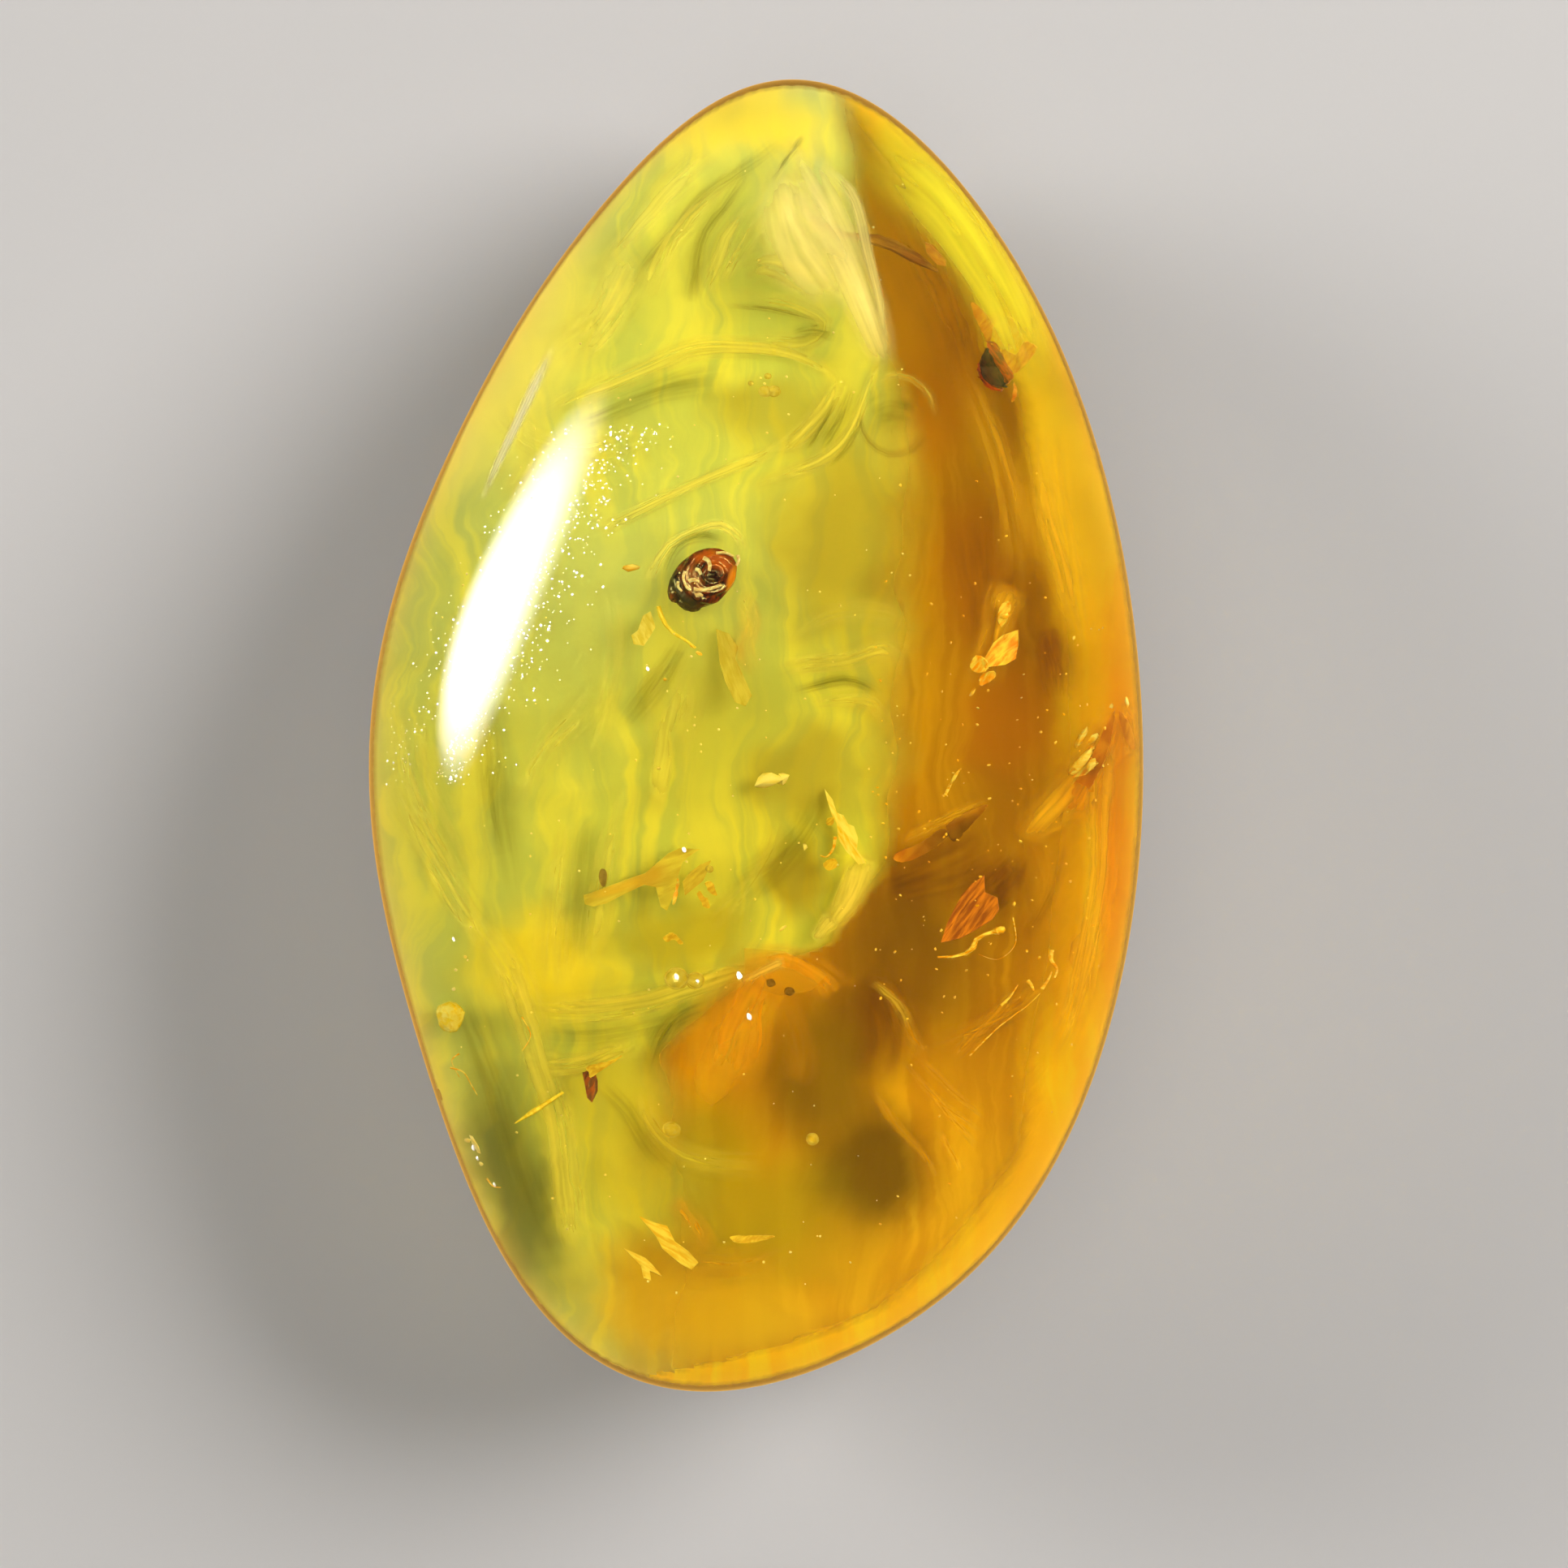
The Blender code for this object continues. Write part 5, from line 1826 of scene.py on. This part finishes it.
@dataclass
class NodeLooks:
    """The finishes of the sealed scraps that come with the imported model, as the resin shows them."""

    def finishes(self) -> dict[str, ScrapFinish]:
        """Lists each scrap's finish by its node."""
        # Dry leaf tissue: straw yellow, with darker veins along it and a dull, rough face.
        leaf = ScrapFinish(
            "dry_leaf_tissue", "#CCC04C", "#E4E070", 0.20, 5.0, 25.0, 0.4, 0.7, 0.88,
            patches=(Patch(-3.6, -5.2, 0.8, 0.5, 30, "#D0AC30", 0.8), Patch(-4.6, -5.6, 0.9, 0.2, 20,
                                                                            "#FFD84A", 0.5)),
        )  # fmt: skip
        blade = ScrapFinish("dry_leaf_blade", "#C8B440", "#E0D464", 0.12, 6.0, 45.0, 0.4, 0.7, 0.9)
        # Torn plant fibre: nearly white where it has split, with long streaks.
        splinter = ScrapFinish(
            "pale_splintered_fibre", "#E8D048", "#FFFFE0", 0.16, 5.0, -60.0, 0.3, 0.8,
            patches=(Patch(3.3, -3.6, 0.25, 0.7, 25, "#FFFFD8", 0.9),),
        )  # fmt: skip
        # Bark and seed coat: red-brown, in close dark ribs that catch the light.
        bark = ScrapFinish("saw_edged_bark", "#8E4410", "#DC8A24", 0.14, 7.0, 58.0, 0.45, 0.9)
        chip = ScrapFinish("brown_seed_coat", "#5A1C02", "#A04808", 0.12, 3.0, 70.0, 0.3, 0.6)
        twig = ScrapFinish(
            "thin_twig_bark", "#9C6C1C", "#CC9C38", 0.16, 7.0, -22.0, 0.45, 0.7, 0.8,
            patches=(Patch(5.0, 17.1, 0.7, 0.2, -22, "#A05A08", 0.7),),
        )  # fmt: skip
        # Plates and threads of older resin: smooth broken faces that gleam from orange to pale yellow.
        gold = ScrapFinish("broken_resin_plate", "#F09010", "#FFF080", 0.22, 3.0, 50.0, 0.12, 0.9)
        thread = ScrapFinish("resin_thread", "#F0B020", "#FFF8B0", 0.12, 3.0, 20.0, 0.12, 0.4)
        grain = ScrapFinish("yellow_resin_grain", "#F0DC30", "#FFFCA0", 0.25, 1.0, 0.0, 0.15, 0.3)
        # Single fibres: clean yellow with a silky streak.
        strand = ScrapFinish("yellow_fibre", "#F0D820", "#FFF870", 0.10, 6.0, -60.0, 0.3, 0.5)
        # Lumps of orange resin: soft, cloudy and nearly clear, so that what lies round them shows through.
        clot = ScrapFinish(
            "orange_resin_clot", "#F0B428", "#FFDC4C", 0.6, 1.5, 60.0, 0.9, 0.1, 0.14,
            patches=(Patch(-1.3, -12.4, 0.5, 1.2, -20, "#FFC840", 0.8), Patch(-0.4, -9.9, 0.5, 0.4, 0,
                                                                              "#F0A828", 0.6)),
        )  # fmt: skip
        # Soft shreds of leaf: pale yellow and fibrous.
        tan = ScrapFinish("tan_leaf_band", "#D8CC50", "#F0EC80", 0.16, 5.0, -70.0, 0.5, 0.6, 0.6)
        shred = ScrapFinish("soft_yellow_shred", "#F0CC48", "#FFF490", 0.14, 5.0, -35.0, 0.5, 0.6)
        return {
            "twig": twig,
            "orange_scale": ScrapFinish("orange_resin_scale", "#D8841C", "#F0AC30", 0.12, 2.0, -40.0, 0.3,
                                        0.5, 0.75),
            "leaf_shred": leaf,
            "leaf_blade": blade,
            "pale_splinter": splinter,
            "bark_flake": bark,
            "gold_thread": thread,
            "gold_flake": gold,
            "bright_splinter": gold,
            "resin_grain": grain,
            "needle": strand,
            "seed_chip": chip,
            "resin_clot": clot,
            "clot_flake": clot,
            "yellow_strand": strand,
            "pale_shred": ScrapFinish("pale_fibre_shred", "#E8DC60", "#FFFAA0", 0.14, 3.0, -60.0, 0.5,
                                      0.4, 0.75),
            "tan_band": tan,
            "low_shred": shred,
            "fork_shred": shred,
        }

    def apply(self, nodes: dict) -> None:
        """Gives each scrap its finish.

        Args:
            nodes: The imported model's nodes by name.
        """
        made = {}
        for node, finish in self.finishes().items():
            if finish.name not in made:
                made[finish.name] = finish.material()
            nodes[node].data.materials.clear()
            nodes[node].data.materials.append(made[finish.name])


@dataclass(frozen=True)
class Softbox:
    """One softbox: where it stands as seen from the nugget, its turn, its size and its power.

    The bearing is the angle round from +X and the angle up from the floor, in degrees. The roll turns the
    long side from level, in degrees. The distance and the size are in metres. The power is in watts for a
    lamp, and the strength of its middle for the glowing panel.
    """

    name: str
    bearing: Point
    distance: float
    size: Point
    power: float
    roll: float = 0.0

    def aim(self, obj: bpy.types.Object) -> None:
        """Stands a light off from the nugget and aims it there.

        Args:
            obj: The light's object, which shines along its own -Z.
        """
        around, up = map(math.radians, self.bearing)
        level = math.cos(up)
        direction = Vector((level * math.cos(around), level * math.sin(around), math.sin(up)))
        obj.location = direction * self.distance + Vector((0, 0, STONE.girdle_height * MM))
        roll = Matrix.Rotation(math.radians(self.roll), 3, "Z")
        obj.rotation_euler = (direction.to_track_quat("Z", "Y").to_matrix() @ roll).to_euler()

    def lamp(self) -> None:
        """Puts the softbox up as a plain lamp, which fills in light and doesn't show in the gloss."""
        data = bpy.data.lights.new(self.name, "AREA")
        data.shape = "ELLIPSE"
        data.size, data.size_y = self.size
        data.energy = self.power
        obj = bpy.data.objects.new(self.name, data)
        bpy.context.scene.collection.objects.link(obj)
        self.aim(obj)
        obj.visible_glossy = False

    def panel(self) -> None:
        """Puts the softbox up as a cloth panel that is brightest in its middle, so that its gleam is soft."""
        deselect_all()
        bpy.ops.mesh.primitive_circle_add(vertices=64, radius=0.5, fill_type="NGON")
        panel = bpy.context.object
        panel.name = self.name
        panel.data.transform(Matrix.Diagonal((*self.size, 1.0, 1.0)))
        self.aim(panel)
        cloth = bpy.data.materials.new("softbox_cloth")
        cloth.use_nodes = True
        tree = cloth.node_tree
        place = add_node(tree, "TexCoord").outputs["Object"]
        halves = (2 / self.size[0], 2 / self.size[1], 0)
        span = add_node(tree, "VectorMath", {"operation": "MULTIPLY", 1: halves}, {0: place})
        away = add_node(tree, "VectorMath", {"operation": "LENGTH"}, {0: span.outputs[0]})
        light = add_node(
            tree,
            "MapRange",
            {"interpolation_type": "SMOOTHSTEP", 1: 1.0, 2: 0.25, 3: 0.0, 4: self.power},
            {0: away.outputs["Value"]},
        )
        glow = add_node(tree, "Emission", {"Color": (1.0, 1.0, 1.0, 1.0)}, {"Strength": light.outputs[0]})
        tree.links.new(glow.outputs[0], tree.nodes["Material Output"].inputs["Surface"])
        panel.data.materials.append(cloth)


@dataclass
class Studio:
    """The pale floor, the surroundings, the lights and the camera straight above."""

    floor_drop: float = 0.05
    room_light: Colour = (0.10, 0.10, 0.10, 1.0)
    honey_light: Colour = (0.95, 0.52, 0.10, 1.0)
    main: Softbox = Softbox("main_softbox", (161.7, 19.4), 0.45, (0.40, 0.26), 32.0, -41.0)
    fills: tuple[Softbox, ...] = (
        Softbox("softbox_right", (26.0, 38.0), 0.45, (0.30, 0.20), 4.2),
        Softbox("softbox_top", (200.0, 80.0), 0.60, (0.50, 0.50), 1.3),
    )

    def build(self) -> None:
        """Makes the floor, the surroundings, the lights and the camera."""
        self.floor()
        self.surroundings()
        self.main.panel()
        for fill in self.fills:
            fill.lamp()
        self.camera()

    def floor(self) -> None:
        """Lays the pale paper floor, which the gloss of the nugget doesn't mirror."""
        deselect_all()
        bpy.ops.mesh.primitive_plane_add(size=3.0, location=(0, 0, -self.floor_drop * MM))
        floor = bpy.context.object
        floor.name = "floor"
        paper = bpy.data.materials.new("matte_paper")
        paper.use_nodes = True
        shader = paper.node_tree.nodes["Principled BSDF"]
        shader.inputs["Base Color"].default_value = linear("#928F8C")
        shader.inputs["Roughness"].default_value = 0.9
        shader.inputs["Specular IOR Level"].default_value = 0.1
        floor.data.materials.append(paper)
        floor.visible_glossy = False

    def surroundings(self) -> None:
        """Makes the surroundings: dim grey above, and honey-coloured below, where the gloss mirrors them."""
        world = bpy.data.worlds.new("studio")
        bpy.context.scene.world = world
        world.use_nodes = True
        tree = world.node_tree
        heading = add_node(tree, "SeparateXYZ", links={0: add_node(tree, "TexCoord").outputs["Generated"]})
        low = add_node(
            tree,
            "MapRange",
            {"interpolation_type": "SMOOTHSTEP", 1: -0.25, 2: -0.85},
            {0: heading.outputs["Z"]},
        )
        tint = add_node(
            tree, "Mix", {"data_type": "RGBA", 6: self.room_light, 7: self.honey_light}, {0: low.outputs[0]}
        )
        tree.links.new(tint.outputs[2], tree.nodes["Background"].inputs["Color"])

    def camera(self) -> None:
        """Sets up the camera."""
        camera = bpy.data.cameras.new("camera")
        camera.lens = VIEW.lens
        camera.clip_start = 0.01
        obj = bpy.data.objects.new("camera", camera)
        bpy.context.scene.collection.objects.link(obj)
        obj.location = VIEW.eye() * MM
        bpy.context.scene.camera = obj


def main() -> None:
    """Builds every class in order and reports each piece."""
    logging.basicConfig(level=logging.INFO, format="%(message)s")
    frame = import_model()
    scene = bpy.context.scene
    scene.view_settings.view_transform = "Standard"
    scene.cycles.max_bounces = 8
    scene.cycles.diffuse_bounces = 3
    scene.cycles.transparent_max_bounces = 12
    Studio().build()
    nugget = Nugget()
    body = nugget.build()
    lens = DomeLens(body, nugget.finish.ior)
    NodeLooks().apply(frame["nodes"])
    pieces = [
        body,
        *CloudSheets(lens).build(),
        *Swirls(lens).build(),
        *Beetle().build(),
        *WingedInsect(lens).build(),
        *SmallScraps(lens).build(),
        Threads(lens).build(),
        Bubbles(lens).build(),
        *Specks(lens).build(),
    ]
    for piece in pieces:
        log.info("%s: %d faces", piece.name, len(piece.data.polygons))
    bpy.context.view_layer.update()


if __name__ == "__main__":
    main()
